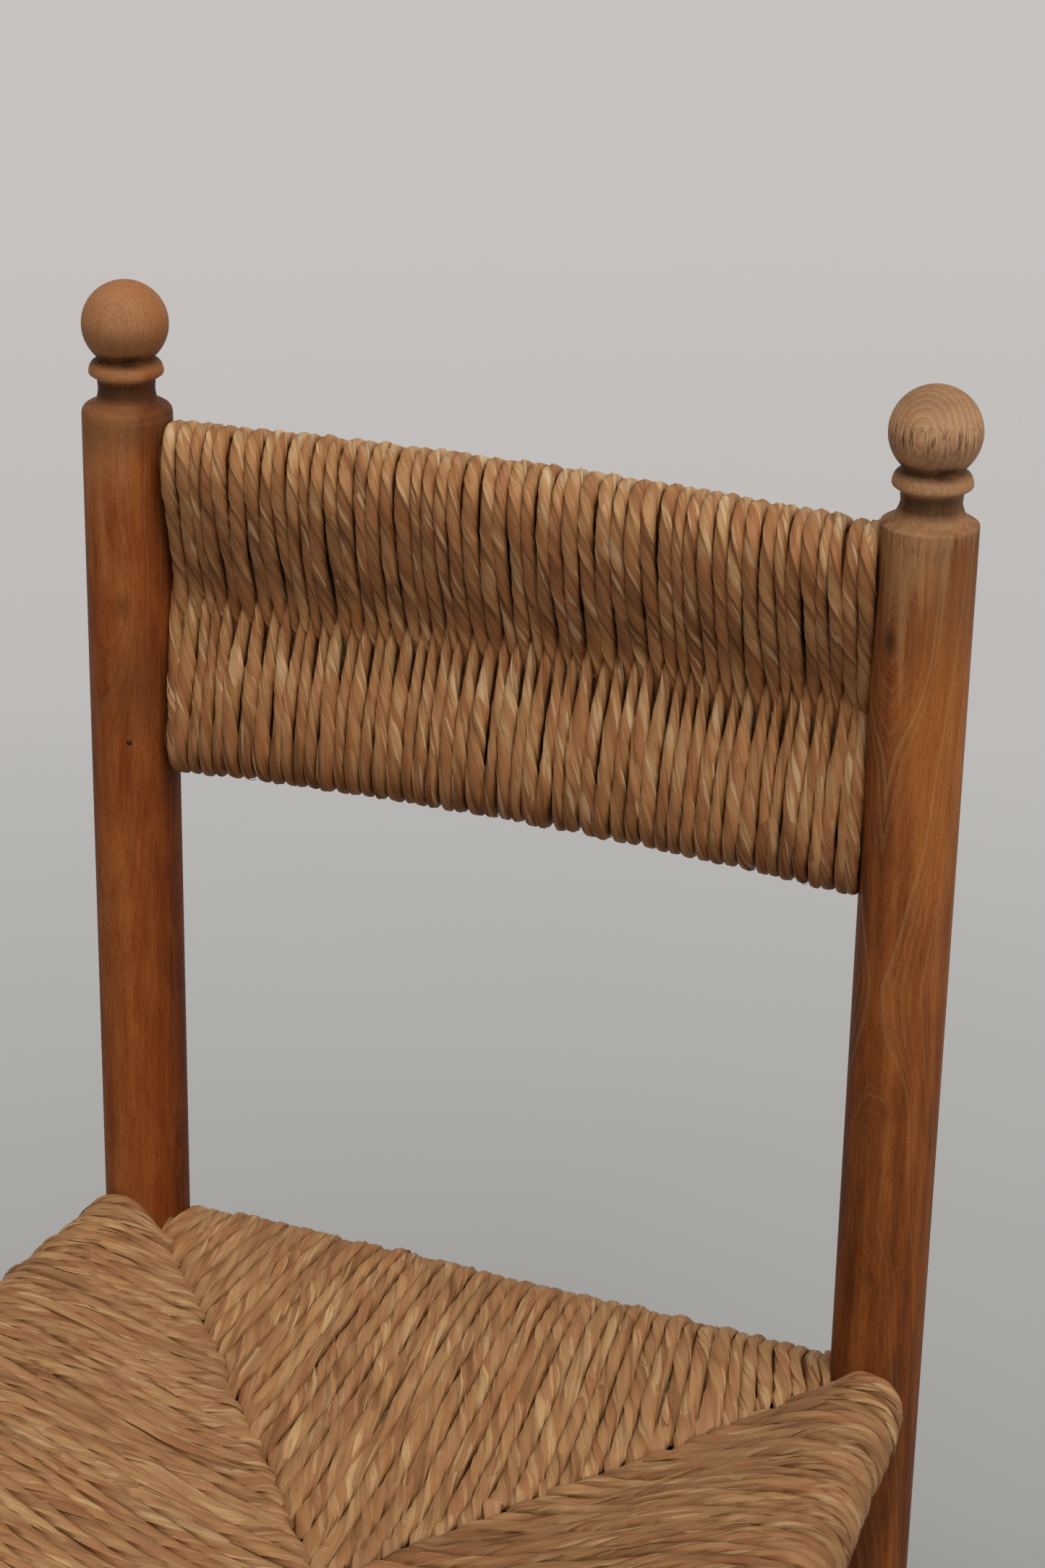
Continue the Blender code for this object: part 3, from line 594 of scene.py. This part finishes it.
def finial_outline(edge, lift):
    """From the post's shoulder to the ball's tip.

    edge is the radius of the shoulder's rounding and lift how high that ends above the shoulder.
    """
    outline = [(POST_RADIUS - edge + edge * math.cos(a), lift + edge * math.sin(a) - edge)
               for a in rounded(4, 0, math.pi / 2)]
    slope = (POST_RADIUS - edge - 0.0015, lift + 0.0010)
    rise = NECK_COVE_HEIGHT - slope[1]
    outline.append(slope)
    outline += [(NECK_RADIUS + (slope[0] - NECK_RADIUS) * (1 - math.sin(a)) ** COVE_SOFTNESS,
                 slope[1] + rise * (1 - math.cos(a))) for a in rounded(14, 0.04, math.pi / 2)]
    rim = NECK_COVE_HEIGHT + COLLAR_FLARE_HEIGHT
    outline.append((NECK_RADIUS + 0.0003, rim - 0.0010))
    # The collar is fullest below and narrows a little to the ball above
    for share, height in COLLAR_PROFILE:
        outline.append((COLLAR_RADIUS * share, rim + COLLAR_THICKNESS * height))
    top = rim + COLLAR_THICKNESS
    outline.append((PINCH_RADIUS, top + 0.6 * PINCH_LENGTH))
    heart = top + PINCH_LENGTH + BALL_RISE
    outline += [(BALL_RADIUS * math.cos(a), heart + BALL_RADIUS * math.sin(a))
                for a in rounded(36, -math.atan2(BALL_RISE, PINCH_RADIUS), math.pi / 2)[:-1]]
    outline.append((0, heart + BALL_RADIUS))
    return outline


def make_post(side, node, material, edge, lift):
    foot = Vector((side * POST_X, post_y(0), 0))
    direction = Vector((0, math.sin(RAKE), math.cos(RAKE)))
    outline = [(POST_FOOT_RADIUS, -2 * POST_FOOT_RADIUS)]
    outline += foot_outline(POST_FOOT_RADIUS, POST_RADIUS, POST_FOOT_TAPER)
    outline += [(radius, SHOULDER + rise) for radius, rise in finial_outline(edge, lift)]
    hole = None
    if side == LEFT:
        heart = foot + direction * (LOWER_RAIL_HEIGHT / math.cos(RAKE))
        out = Vector((math.sin(NAIL_TURN), -math.cos(NAIL_TURN), 0))
        hole = (heart + out * (POST_RADIUS - NAIL_HOLE_DEPTH), heart + out * POST_RADIUS * 1.2,
                NAIL_HOLE_RADIUS)
    turned_piece(node, outline, foot, direction, material, hole=hole)


def make_leg(side, node, material):
    outline = [(LEG_FOOT_RADIUS - FOOT_CHAMFER, 0), (LEG_FOOT_RADIUS, FOOT_CHAMFER)]
    outline += foot_outline(LEG_FOOT_RADIUS, LEG_RADIUS, LEG_FOOT_TAPER)[1:]
    edge = SIDE_RAIL_HEIGHT + LEG_TOP_RISE
    outline += [(LEG_RADIUS * math.cos(a), edge + LEG_CROWN_HEIGHT * math.sin(a))
                for a in rounded(14, 0, math.pi / 2)[:-1]]
    outline.append((0, edge + LEG_CROWN_HEIGHT))
    turned_piece(node, outline, Vector((side * LEG_X, FRONT_Y, 0)), Vector((0, 0, 1)), material)


def make_stretcher(node, material):
    """A stretcher swells gently from its ends; its line comes from its node's box."""
    low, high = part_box(node)
    heart = (low + high) / 2
    if high.x - low.x > high.y - low.y:
        start, end = (Vector((x, *heart.yz)) for x in (low.x, high.x))
    else:
        side = RIGHT if heart.x > 0 else LEFT
        back = Vector((side * POST_X, post_y(heart.z), heart.z))
        front = Vector((side * LEG_X, FRONT_Y, heart.z))
        along = (back - front).normalized()
        inset = LEG_RADIUS / 2
        start = front + along * inset
        end = back - along * inset
    length = (end - start).length
    swell = STRETCHER_RADIUS - STRETCHER_END_RADIUS
    outline = [(STRETCHER_END_RADIUS + swell * math.sin(math.pi * step / 24),
                length * step / 24) for step in range(25)]
    turned_piece(node, outline, start, (end - start).normalized(), material, sides=40)


# Rush cords

# Along one leaf of a cord, from fold to fold: share of its width, reach and painted shade, dark in
# the fold and above 1 a painted highlight. The leaf's first edge lifts a little over its
# neighbour.
LEAF_PROFILE = ((0.0, 0.92, 0.0), (0.07, 1.07, 1.5), (0.30, 1.05, 1.0), (0.58, 1.02, 1.0),
                (0.84, 0.97, 0.85))
SLIVER_SIDES = np.array((-1.0, 0.0, 1.0, 0.0))
SLIVER_RISE = np.array((0.0, 0.05, 0.0, -0.03))


def squared(values, power):
    """Draw a circle's sines and cosines out towards a square."""
    return np.sign(values) * np.abs(values) ** power


class Weave:
    """Gathers many cords into one mesh."""

    def __init__(self, seed):
        self.rng = np.random.default_rng(seed)
        self.points = []
        self.faces = []
        self.count = 0
        self.values = {"leaf_place": [], "leaf_tint": [], "leaf_fold": [], "leaf_tone": []}

    def add_cord(self, centre, across, out, turn, tone, slivers, power=0.78):
        """One twisted cord along its line.

        across and out are its half width and half depth at each point of the line, turn its
        twist there, tone its lightness and slivers the number of loose ones per metre.
        """
        rng = self.rng
        gaps = np.linalg.norm(np.diff(centre, axis=0), axis=1)
        along = np.concatenate(([0.0], np.cumsum(gaps)))
        forward = unit(np.gradient(centre, axis=0))
        across = across * np.sign(dot(np.cross(forward, out), across))
        widths = rng.uniform(0.75, 1.25, rng.choice((2, 3), p=(0.75, 0.25)))
        starts = math.tau * np.concatenate(([0.0], np.cumsum(widths))) / widths.sum()
        shares, reach, folds = np.array(LEAF_PROFILE).T
        angles = (starts[:-1, None] + np.diff(starts)[:, None] * shares).ravel()
        reach = np.tile(reach, len(widths))
        folds = np.tile(folds, len(widths))
        turn = turn + 0.5 * wobble(rng, along, 0.09)
        ripple = np.stack([wobble(rng, along, 0.030) for _ in angles], axis=1)
        reach = reach * (1 + 0.022 * ripple + rng.normal(0, 0.010, ripple.shape))
        theta = angles - turn[:, None]

        def ring(theta, reach):
            sine = squared(np.sin(theta), power) * reach
            cosine = squared(np.cos(theta), power) * reach
            return (centre[:, None, :] + across[:, None, :] * sine[:, :, None]
                    + out[:, None, :] * cosine[:, :, None])

        radius = float(np.linalg.norm(across, axis=1).mean())
        shift = rng.uniform(0, 40)
        tint = rng.uniform(0, 1)
        self.add_rings(ring(theta, reach), radius, angles, folds, along, shift, tint, tone)
        for _ in range(rng.poisson(slivers * along[-1])):
            length = rng.integers(5, 10)
            start = rng.integers(1, max(2, len(along) - length - 1))
            part = slice(start, start + length)
            share = np.linspace(0, 1, len(along[part]))
            if len(share) < 4:
                continue
            heart = rng.uniform(-1.2, 1.2) + turn[start + len(share) // 2]
            half = rng.uniform(0.12, 0.34) * np.sin(math.pi * np.clip(share, 0.04, 0.96)) ** 0.7
            lift = 1.07 + rng.uniform(0.02, 0.22) * share ** 2
            spread = np.full((len(along), 4), heart)
            rise = np.ones((len(along), 4))
            spread[part] += half[:, None] * SLIVER_SIDES
            rise[part] = lift[:, None] + SLIVER_RISE
            strip = ring(spread - turn[:, None], rise)[part]
            self.add_rings(strip, radius, heart + 0.3 * SLIVER_SIDES, np.full(4, 1.1),
                           along[part], rng.uniform(0, 40), rng.uniform(0.6, 2.2), tone[part])

    def add_rings(self, ring, radius, angles, folds, along, shift, tint, tone):
        rows, sides = ring.shape[:2]
        place = np.empty((rows, sides, 3))
        place[:, :, 0] = radius * np.cos(angles) + shift
        place[:, :, 1] = radius * np.sin(angles)
        place[:, :, 2] = along[:, None] + shift
        starts = np.arange(rows - 1)[:, None] * sides
        first = starts + np.arange(sides)
        after = starts + (np.arange(sides) + 1) % sides
        quads = np.stack((first, after, after + sides, first + sides), axis=-1).reshape(-1, 4)
        base = self.count
        self.faces.extend((quads + base).tolist())
        self.faces.append(list(range(base + sides - 1, base - 1, -1)))
        self.faces.append(list(range(base + (rows - 1) * sides, base + rows * sides)))
        self.points.append(ring.reshape(-1, 3))
        leaf = (place.reshape(-1, 3), np.full(rows * sides, tint), np.tile(folds, rows),
                np.repeat(tone, sides))
        for parts, values in zip(self.values.values(), leaf):
            parts.append(values)
        self.count += rows * sides

    def build(self, name, material, replaces):
        data = bpy.data.meshes.new(name)
        data.from_pydata(np.concatenate(self.points).tolist(), [], self.faces)
        for key, values in self.values.items():
            add_attribute(data, key, np.concatenate(values))
        mesh = bmesh.new()
        mesh.from_mesh(data)
        bmesh.ops.recalc_face_normals(mesh, faces=mesh.faces[:])
        mesh.to_mesh(data)
        mesh.free()
        data.shade_smooth()
        data.set_sharp_from_angle(angle=math.radians(50))
        place_piece(name, data, material, replaces)


def cell_edges(rng, count, spread):
    """Edges of cells of slightly unlike width that fill the range from 0 to 1."""
    widths = 1 + spread * rng.uniform(-1, 1, count)
    return np.concatenate(([0.0], np.cumsum(widths))) / widths.sum()


# Backrest

def figure_of_eight():
    """Places along one turn of the winding, up and forward of the crossing.

    It leaves the crossing up the front, passes over the upper rail, comes down the back, crosses
    to the front, passes under the lower rail and comes up the back.
    """
    roll = BACK_RAIL_RADIUS + BACK_CORD / 2
    half = (UPPER_RAIL_HEIGHT - LOWER_RAIL_HEIGHT) / 2 / math.cos(RAKE)
    lean = math.asin(roll / half)
    run = half * math.cos(lean)
    arc = math.pi + 2 * lean
    straight = np.linspace(0, run, round(run / CORD_STEP), endpoint=False)
    turns = np.linspace(0, arc, round(roll * arc / CORD_STEP), endpoint=False)
    points = []
    for upright in (1, -1):
        points += [(upright * s * math.cos(lean), s * math.sin(lean)) for s in straight]
        points += [(upright * (half + roll * math.cos(math.pi / 2 + lean - t)),
                    roll * math.sin(math.pi / 2 + lean - t)) for t in turns]
        points += [(upright * s * math.cos(lean), -s * math.sin(lean)) for s in run - straight]
    return np.array(points)


def weave_backrest(material):
    weave = Weave(11)
    rng = weave.rng
    turn = figure_of_eight()
    steps = len(turn)
    limit = POST_X - POST_RADIUS
    cell = 2 * limit / BACK_TURNS
    edges = (1 - cell_edges(rng, BACK_TURNS + 1, 0.22) * 2) * (limit + cell / 2)
    places = np.tile(turn, (BACK_TURNS + 1, 1))
    progress = np.arange(len(places)) / steps
    x = np.interp(progress, np.arange(BACK_TURNS + 2), edges)
    width = np.interp(progress, np.arange(BACK_TURNS + 1) + 0.5, -np.diff(edges))
    up, front = places.T.copy()
    length = progress * steps * CORD_STEP
    half = np.abs(turn[:, 0]).max()
    crossings = rng.normal(0, WAIST_UNEVENNESS, 2 * BACK_TURNS + 3)
    waist = crossings[np.round(progress * 2).astype(int)]
    reach = np.where(up > 0, UPPER_SQUEEZE, LOWER_SQUEEZE) * np.where(front > 0, 1.0, 0.3)
    closeness = np.clip(1 - np.hypot(up - waist, front) / reach, 0, 1)
    squeeze = closeness * closeness * (3 - 2 * closeness)
    level = np.clip(1 - np.abs(up) / half, 0, 1)
    room = np.clip((limit - x) / 0.030, 0, 1)
    ahead = np.clip(front / (BACK_RAIL_RADIUS + BACK_CORD / 2), 0, 1)
    ends = np.clip((limit - np.abs(x)) / BACK_END_ZONE, 0, 1)
    x = x + WAIST_SHIFT * level * room + BACK_WANDER * wobble(rng, length, 0.08)
    x = np.clip(x, 0.42 * cell - limit, limit - 0.42 * cell)
    x = x + ahead * np.interp(x, (-limit, limit), BACK_LEAN)
    belly = BACK_BELLY * np.sin(math.pi * np.clip(np.abs(up) / half, 0, 1)) * (0.1 + 0.9 * ends)
    slack = BACK_WANDER * wobble(rng, length, 0.16) * (1 - squeeze)
    front += np.sign(front) * (slack + belly)
    drop = WAIST_DROP * np.clip((limit - x) / (2 * limit), 0, 1) * ends
    up = up + (WAIST_WAVE * wobble(rng, x, 0.09) - drop) * level
    height = (UPPER_RAIL_HEIGHT + LOWER_RAIL_HEIGHT) / 2
    bow = BACK_RAIL_BOW * np.clip(1 - (x / limit) ** 2, 0, 1)
    heart = np.stack((x, post_y(height) + bow, np.full_like(x, height)), axis=1)
    rise = np.array((0.0, math.sin(RAKE), math.cos(RAKE)))
    forth = np.array((0.0, -math.cos(RAKE), math.sin(RAKE)))
    centre = heart + up[:, None] * rise + front[:, None] * forth
    forward = unit(np.gradient(centre, axis=0))
    out = unit(np.cross(forward, (1.0, 0.0, 0.0)))
    side = unit(np.cross(out, forward))
    thick = 0.05 * wobble(rng, length, 0.5) + 0.08 * wobble(rng, length, 0.08)
    thick = 1 + thick * (1 - 0.8 * closeness ** 0.5)
    thick *= 1 + 0.08 * np.clip(-front / BACK_CORD, 0, 1) + 0.07 * (1 - ends)
    loop = np.clip((np.abs(up) - half + 0.022) / 0.014, 0, 1)
    squeeze *= 0.6 + 0.4 * ends
    narrowing = np.where(up > 0, *NARROWING)
    across = side * (width * (0.495 - narrowing * squeeze - 0.035 * loop) * thick)[:, None]
    depth = out * (BACK_CORD / 2 * (0.96 + 0.30 * squeeze + 0.06 * loop) * thick)[:, None]
    lays = BACK_LAYS * progress - BACK_LAY_CHANGE * np.cos(math.tau * progress) / math.tau
    twist = math.tau * (lays + BACK_FOLD_SHARE)
    # The upper roll is worn pale. The hollow under it and the lower edge are darker: partly
    # browner rush, partly painted shade.
    share = up / half
    tone = np.interp(share, (-1.2, -0.95, -0.75, -0.50, -0.25, -0.05, 0.20, 0.45, 0.70, 0.95, 1.1),
                     (-0.10, -0.09, -0.06, 0.03, 0.08, 0.01, -0.09, -0.09, -0.04, 0.04, 0.36))
    tone += 0.02 * wobble(rng, length, 0.05)
    weave.add_cord(centre, across, depth, twist, tone, 5.0, 0.80)
    weave.build("woven_backrest", material, ["backrest_rush"])


# Seat

class SeatPanel:
    """One quarter of the seat: a rail and the two seams that run from its ends."""

    def __init__(self, start, end, rail_height, counts, reaches, tone):
        self.corners = (start, end)
        self.rail_height = rail_height
        self.halves = tuple(zip(self.corners, counts, reaches))
        self.tone = tone
        self.line = unit(end - start)
        self.outward = np.cross(self.line, UP)
        self.foot = start + self.line * dot(CENTRE - start, self.line)
        self.depth = float(dot(self.foot - CENTRE, self.outward)[0])

    def surface(self, corner, spots, top):
        """Height of the seat's outer surface over these spots."""
        run = self.foot - corner
        share = np.clip(dot(spots - corner, run) / dot(run, run), 0.02, 1)
        inward = np.clip(dot(self.foot - spots, self.outward) / (share * self.depth), 0, 1)
        if top:
            seam = SIDE_RAIL_HEIGHT + SEAM_CORNER_RISE * (1 - share) - SEAM_CENTRE_DROP * share
            return blend(self.rail_height + SEAT_ROLL, seam, inward)
        centre_drop = SEAM_CENTRE_DROP + SEAT_CENTRE_THICKNESS
        seam = SIDE_RAIL_HEIGHT - UNDERSEAM_CORNER_DROP * (1 - share) - centre_drop * share
        return blend(self.rail_height - SEAT_ROLL, seam, inward)

    def cord_line(self, corner, place, steps, tip):
        """Outer line of the cord at this place, from 0 at the post to 1 at the middle.

        tip is how far its ends reach past the seams.
        """
        toward = unit(self.foot - corner)
        face = corner + toward * POST_RADIUS
        rail = face + (self.foot - face) * place
        seam = corner + (CENTRE - corner) * (0.08 + 0.92 * place ** 1.2)
        span = np.linalg.norm(seam - rail)
        inward = np.linspace(1 + tip / span, 0, steps)[:, None]
        spots = rail + (seam - rail) * inward
        sink = np.clip((inward - 1 + SEAM_SLOPE / span) * span / (SEAM_SLOPE + tip), 0, 1)
        sink = SEAM_DIVE * sink * sink
        upper, under = spots.copy(), spots.copy()
        upper[:, 2:] = self.surface(corner, spots, True) - sink
        under[:, 2:] = self.surface(corner, spots, False) + sink
        turn = (np.arange(1, ROLL_STEPS) * math.pi / ROLL_STEPS)[:, None]
        roll = (rail + self.outward * SEAT_ROLL * np.sin(turn)
                + UP * (self.rail_height + SEAT_ROLL * np.cos(turn)))
        return np.concatenate((upper, roll, under[::-1]))

    def weave(self, name, seed, material, replaces):
        weave = Weave(seed)
        rng = weave.rng
        for corner, count, reach in self.halves:
            edges = cell_edges(rng, count, 0.17)
            for low, high in zip(edges, edges[1:]):
                place = (low + high) / 2
                span = POST_RADIUS + self.depth * place
                steps = max(6, round(span / CORD_STEP))
                tip = reach + rng.uniform(*TIP_RANGE)
                lines = [self.cord_line(corner, at, steps, tip) for at in (low, place, high)]
                centre = lines[1]
                forward = unit(np.gradient(centre, axis=0))
                across = (lines[2] - lines[0]) / 2
                across = across - forward * dot(across, forward)
                out = unit(np.cross(forward, across))
                if dot(out[steps + ROLL_STEPS // 2], self.outward)[0] < 0:
                    out = -out
                along = np.arange(len(centre)) * CORD_STEP
                ends = np.minimum(along, along[::-1])[:, None]
                taper = 1 - 0.36 * np.clip(1 - ends / SEAM_TAPER, 0, 1) ** 1.5
                thick = 1 + 0.05 * (wobble(rng, along, 0.2) + wobble(rng, along, 0.05))[:, None]
                proud = rng.normal(0, SEAT_WANDER) + 0.0005 * wobble(rng, along, 0.09)[:, None]
                depth = SEAT_CORD / 2 * 0.95 * thick * taper
                side = unit(across) * (SEAT_WANDER * wobble(rng, along, 0.08))[:, None]
                twist = math.tau * (along / rng.uniform(0.070, 0.115) + rng.uniform(0, 1))
                tone = self.tone + 0.03 * wobble(rng, along, 0.12)
                weave.add_cord(centre - out * (depth - proud) + side,
                               across * 0.995 * thick * taper, out * depth, twist, tone,
                               SEAT_SLIVERS)
        weave.build(name, material, replaces)


def straw_pad(panel, name, seed, material, replaces):
    """Lumpy wedge of straw between the two layers of a panel."""
    rng = np.random.default_rng(seed)
    rows, columns = 28, 12
    mesh = bmesh.new()
    grids = []
    for top in (True, False):
        grid = []
        for row in range(rows + 1):
            along = abs(2 * row / rows - 1)
            corner = panel.corners[0 if row * 2 < rows else 1]
            share = 1 - 0.60 * along
            rail = corner + (panel.foot - corner) * share
            seam = corner + (CENTRE - corner) * share
            reach = np.linalg.norm(seam - rail)
            first = (SEAT_RAIL_RADIUS + 0.002) / reach
            line = []
            for column in range(columns + 1):
                inward = first + (1 - 0.012 / reach - first) * column / columns
                spot = rail + (seam - rail) * inward
                height = panel.surface(corner, spot[None, :], top)[0, 0]
                lump = SEAT_CORD + 0.0012 + 0.0008 * rng.uniform(-1, 1)
                spot[2] = height - lump if top else height + lump
                line.append(mesh.verts.new(spot))
            grid.append(line)
        grids.append(grid)
    upper, under = grids
    for row in range(rows):
        for column in range(columns):
            for grid in grids:
                mesh.faces.new((grid[row][column], grid[row + 1][column],
                                grid[row + 1][column + 1], grid[row][column + 1]))
        for column in (0, columns):
            mesh.faces.new((upper[row][column], upper[row + 1][column],
                            under[row + 1][column], under[row][column]))
    for row in (0, rows):
        for column in range(columns):
            mesh.faces.new((upper[row][column], upper[row][column + 1],
                            under[row][column + 1], under[row][column]))
    bmesh.ops.recalc_face_normals(mesh, faces=mesh.faces[:])
    piece = place_piece(name, mesh_data(name, mesh), material, replaces)
    turn = Matrix((panel.line, panel.outward, UP))
    add_attribute(piece.data, "leaf_place", [turn @ vertex.co for vertex in piece.data.vertices])
    piece.data.shade_smooth()


# Stage

def make_stage():
    mesh = bmesh.new()
    bmesh.ops.create_circle(mesh, cap_ends=True, segments=96, radius=FLOOR_RADIUS)
    floor = add_object("floor", mesh_data("floor", mesh))
    floor.data.materials.append(floor_material())

    world = bpy.data.worlds.new("studio")
    bpy.context.scene.world = world
    world.use_nodes = True
    nodes = Nodes(world.node_tree)
    height = nodes.add("SeparateXYZ", nodes.add("TexCoord", output="Generated"), output="Z")
    sky = nodes.ramp(height, (0.0, (0.13, 0.133, 0.138)), (1.0, (0.42, 0.43, 0.44)))
    # Where it is seen or mirrored, the world is a backdrop as pale as the far floor
    rays = nodes.add("LightPath").node.outputs
    seen = None
    for name in ("Is Camera Ray", "Is Glossy Ray", "Is Transmission Ray"):
        seen = nodes.larger(seen, rays[name])
    background = nodes.tree.nodes["Background"]
    nodes.fill(background.inputs["Color"], nodes.mix(seen, sky, (0.56, 0.54, 0.52)))
    background.inputs["Strength"].default_value = 1.0

    lamp = bpy.data.lights.new("soft_top_light", 'SUN')
    lamp.energy = LIGHT_STRENGTH
    lamp.color = (1.0, 0.97, 0.94)
    lamp.angle = LIGHT_SOFTNESS
    light = add_object("soft_top_light", lamp)
    light.rotation_euler = Vector(LIGHT_AIM).to_track_quat('-Z', 'Y').to_euler()

    camera = bpy.data.cameras.new("camera")
    camera.lens = CAMERA_LENS
    camera.sensor_width = 36
    view = add_object("camera", camera)
    view.location = CAMERA_PLACE
    view.rotation_euler = (math.pi / 2 - CAMERA_PITCH, 0, CAMERA_YAW)
    bpy.context.scene.camera = view
    bpy.context.scene.view_settings.view_transform = 'Standard'


# The chair

STAIN = ((0.10, 0.022, 0.006), (0.225, 0.054, 0.010), (0.37, 0.120, 0.030))
STAIN_RIGHT = ((0.105, 0.030, 0.010), (0.220, 0.061, 0.014), (0.36, 0.120, 0.030))
# The rails are darker than the stain: painted shade where they show between the cords
SHADED_RAIL_STAIN = ((0.045, 0.014, 0.005), (0.090, 0.030, 0.010), (0.15, 0.055, 0.018))
WORN_LEFT = (0.43, 0.215, 0.105)
WORN_RIGHT = (0.57, 0.335, 0.185)
NOT_WORN = (2.0, 3.0)           # above every piece
# Dark browns, for dirt and for painted shade
DIRT_AND_SHADE = (0.10, 0.042, 0.018)
DEEP_PAINTED_SHADE = (0.045, 0.018, 0.008)
# Painted shade: under the collar's rim, in the crease where the ball meets the collar and on the
# ball's underside above it
PAINTED_SHADE_BELTS = ((RIM - 0.0045, 0.0062, 1.00, DEEP_PAINTED_SHADE), (BALL_SEAT + 0.006, 0.011, 0.50, DIRT_AND_SHADE),
               (BALL_SEAT + 0.0008, 0.0042, 1.00, DEEP_PAINTED_SHADE))
post_left_wood = wood_material(
    "stained_beech_left", STAIN, WORN_LEFT, (SHOULDER - 0.08, SHOULDER + 0.02), (0.012, 0.034),
    0.04, paler=0.065, side=(0.13, -0.99), shade=0.21, fresh=0.17, stripes=0.18, rings=0.12,
    knots=(((0.006, -0.019, SHOULDER - 0.085), 0.016, 0.004, 0.45),
           ((0.012, -0.016, SHOULDER - 0.122), 0.060, 0.0, 0.42)),
    ovals=((0.004, -0.0185, BALL_HEART - 0.002), 2.6, 0.0052),
    # Pale lines: painted highlights on the collar's lower edge and the shoulder, where the finish
    # is worn too; the belt round the shoulder is darker
    marks=PAINTED_SHADE_BELTS + ((RIM + 0.0008, 0.0012, 0.45, PALE_WEAR_AND_HIGHLIGHT),
                         (SHOULDER - 0.002, 0.0012, 0.12, PALE_WEAR_AND_HIGHLIGHT),
                         (SHOULDER - 0.001, 0.020, 0.50, DIRT_AND_SHADE)))
post_right_wood = wood_material(
    "stained_beech_right", STAIN_RIGHT, WORN_RIGHT, (SHOULDER - 0.040, SHOULDER + 0.004),
    (0.0087, 0.0287), 0.085, ridge=((-0.289, -0.957), 0.0065, 0.0036, SHOULDER - 0.197),
    paler=0.045, side=(0.64, -0.77), shade=0.17, low_shade=0.1, climb=0.66, fresh=0.06,
    stripes=0.42, rings=0.30,
    knots=(((-0.0086, -0.0180, SHOULDER - 0.046), 0.015, 0.015, 0.95),
           ((0.0026, -0.0203, SHOULDER - 0.255), 0.010, 0.006, 0.40),
           ((-0.0067, -0.0194, SHOULDER - 0.278), 0.014, 0.010, 0.12),
           ((-0.001, -0.020, SHOULDER - 0.338), 0.012, 0.004, 0.30)),
    ovals=((-0.0005, -0.0189, BALL_HEART + 0.002), 1.8, 0.0052),
    # Pale lines: painted highlights on the shoulder and the collar's lower edge, where the finish
    # is worn too; a brown belt below the shoulder and dirt on the ball's top
    marks=PAINTED_SHADE_BELTS + ((SHOULDER, 0.0007, 0.35, PALE_WEAR_AND_HIGHLIGHT),
                         (RIM + 0.0012, 0.0015, 0.75, PALE_WEAR_AND_HIGHLIGHT),
                         (SHOULDER - 0.012, 0.048, 0.50, (0.13, 0.062, 0.030)),
                         (BALL_HEART + BALL_RADIUS, 0.012, 0.40, DIRT_AND_SHADE)),
    checks=((BALL_HEART - 0.0040, BALL_HEART + 0.0055, 0.0026, 0.78),
            (RIM + 0.0002, RIM + 0.0022, 0.0005, 0.60),
            (SHOULDER - 0.009, SHOULDER + 0.001, 0.0060, 0.60)))
leg_wood = wood_material("stained_beech_legs", STAIN, WORN_LEFT, NOT_WORN, (0.010, 0.028))
shaded_rail_wood = wood_material("shaded_beech_rails", SHADED_RAIL_STAIN, WORN_LEFT, NOT_WORN)
seat_rush = rush_material("rush_seat", (0.61, 0.40, 0.195), (0.45, 0.246, 0.102),
                          (0.36, 0.172, 0.064), (0.205, 0.084, 0.027), (0.35, 0.138, 0.050),
                          painted_crease_shade=0.80)
back_rush = rush_material("rush_backrest", (0.70, 0.50, 0.28), (0.49, 0.258, 0.102),
                          (0.36, 0.155, 0.052), (0.205, 0.078, 0.023), (0.37, 0.130, 0.042),
                          painted_crease_shade=0.72)
straw = straw_material()
steel = steel_material()

make_stage()
make_post(LEFT, "back_post_left", post_left_wood, 0.0042, 0.0026)
make_post(RIGHT, "back_post_right", post_right_wood, 0.0007, 0.0007)
make_leg(LEFT, "front_leg_left", leg_wood)
make_leg(RIGHT, "front_leg_right", leg_wood)
for node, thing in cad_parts.items():
    if node.startswith("stretcher"):
        make_stretcher(node, leg_wood)
    elif "rail" in node or "pin" in node:
        thing.data.materials.clear()
        thing.data.materials.append(steel if "pin" in node else shaded_rail_wood)

weave_backrest(back_rush)
# Seat panels, corner to corner: the height of the rail, the cords on either side of its middle,
# how far these reach past their seam (the side panels' lie on top) and their tone
SEAT_PANELS = {
    "back": (BACK_RIGHT, BACK_LEFT, END_RAIL_HEIGHT, (23, 23), (0.0018, 0.0020), 0.0),
    "left": (BACK_LEFT, FRONT_LEFT, SIDE_RAIL_HEIGHT, (23, 28), (0.0042, 0.0040), 0.0),
    "front": (FRONT_LEFT, FRONT_RIGHT, END_RAIL_HEIGHT, (28, 28), (0.0020, 0.0020), -0.03),
    "right": (FRONT_RIGHT, BACK_RIGHT, SIDE_RAIL_HEIGHT, (28, 23), (0.0040, 0.0026), -0.03),
}
for seed, (place, measures) in enumerate(SEAT_PANELS.items()):
    panel = SeatPanel(*measures)
    panel.weave("woven_seat_" + place, 20 + seed, seat_rush, ["seat_rush"])
    straw_pad(panel, "straw_pad_" + place, 40 + seed, straw, ["seat_stuffing_" + place])
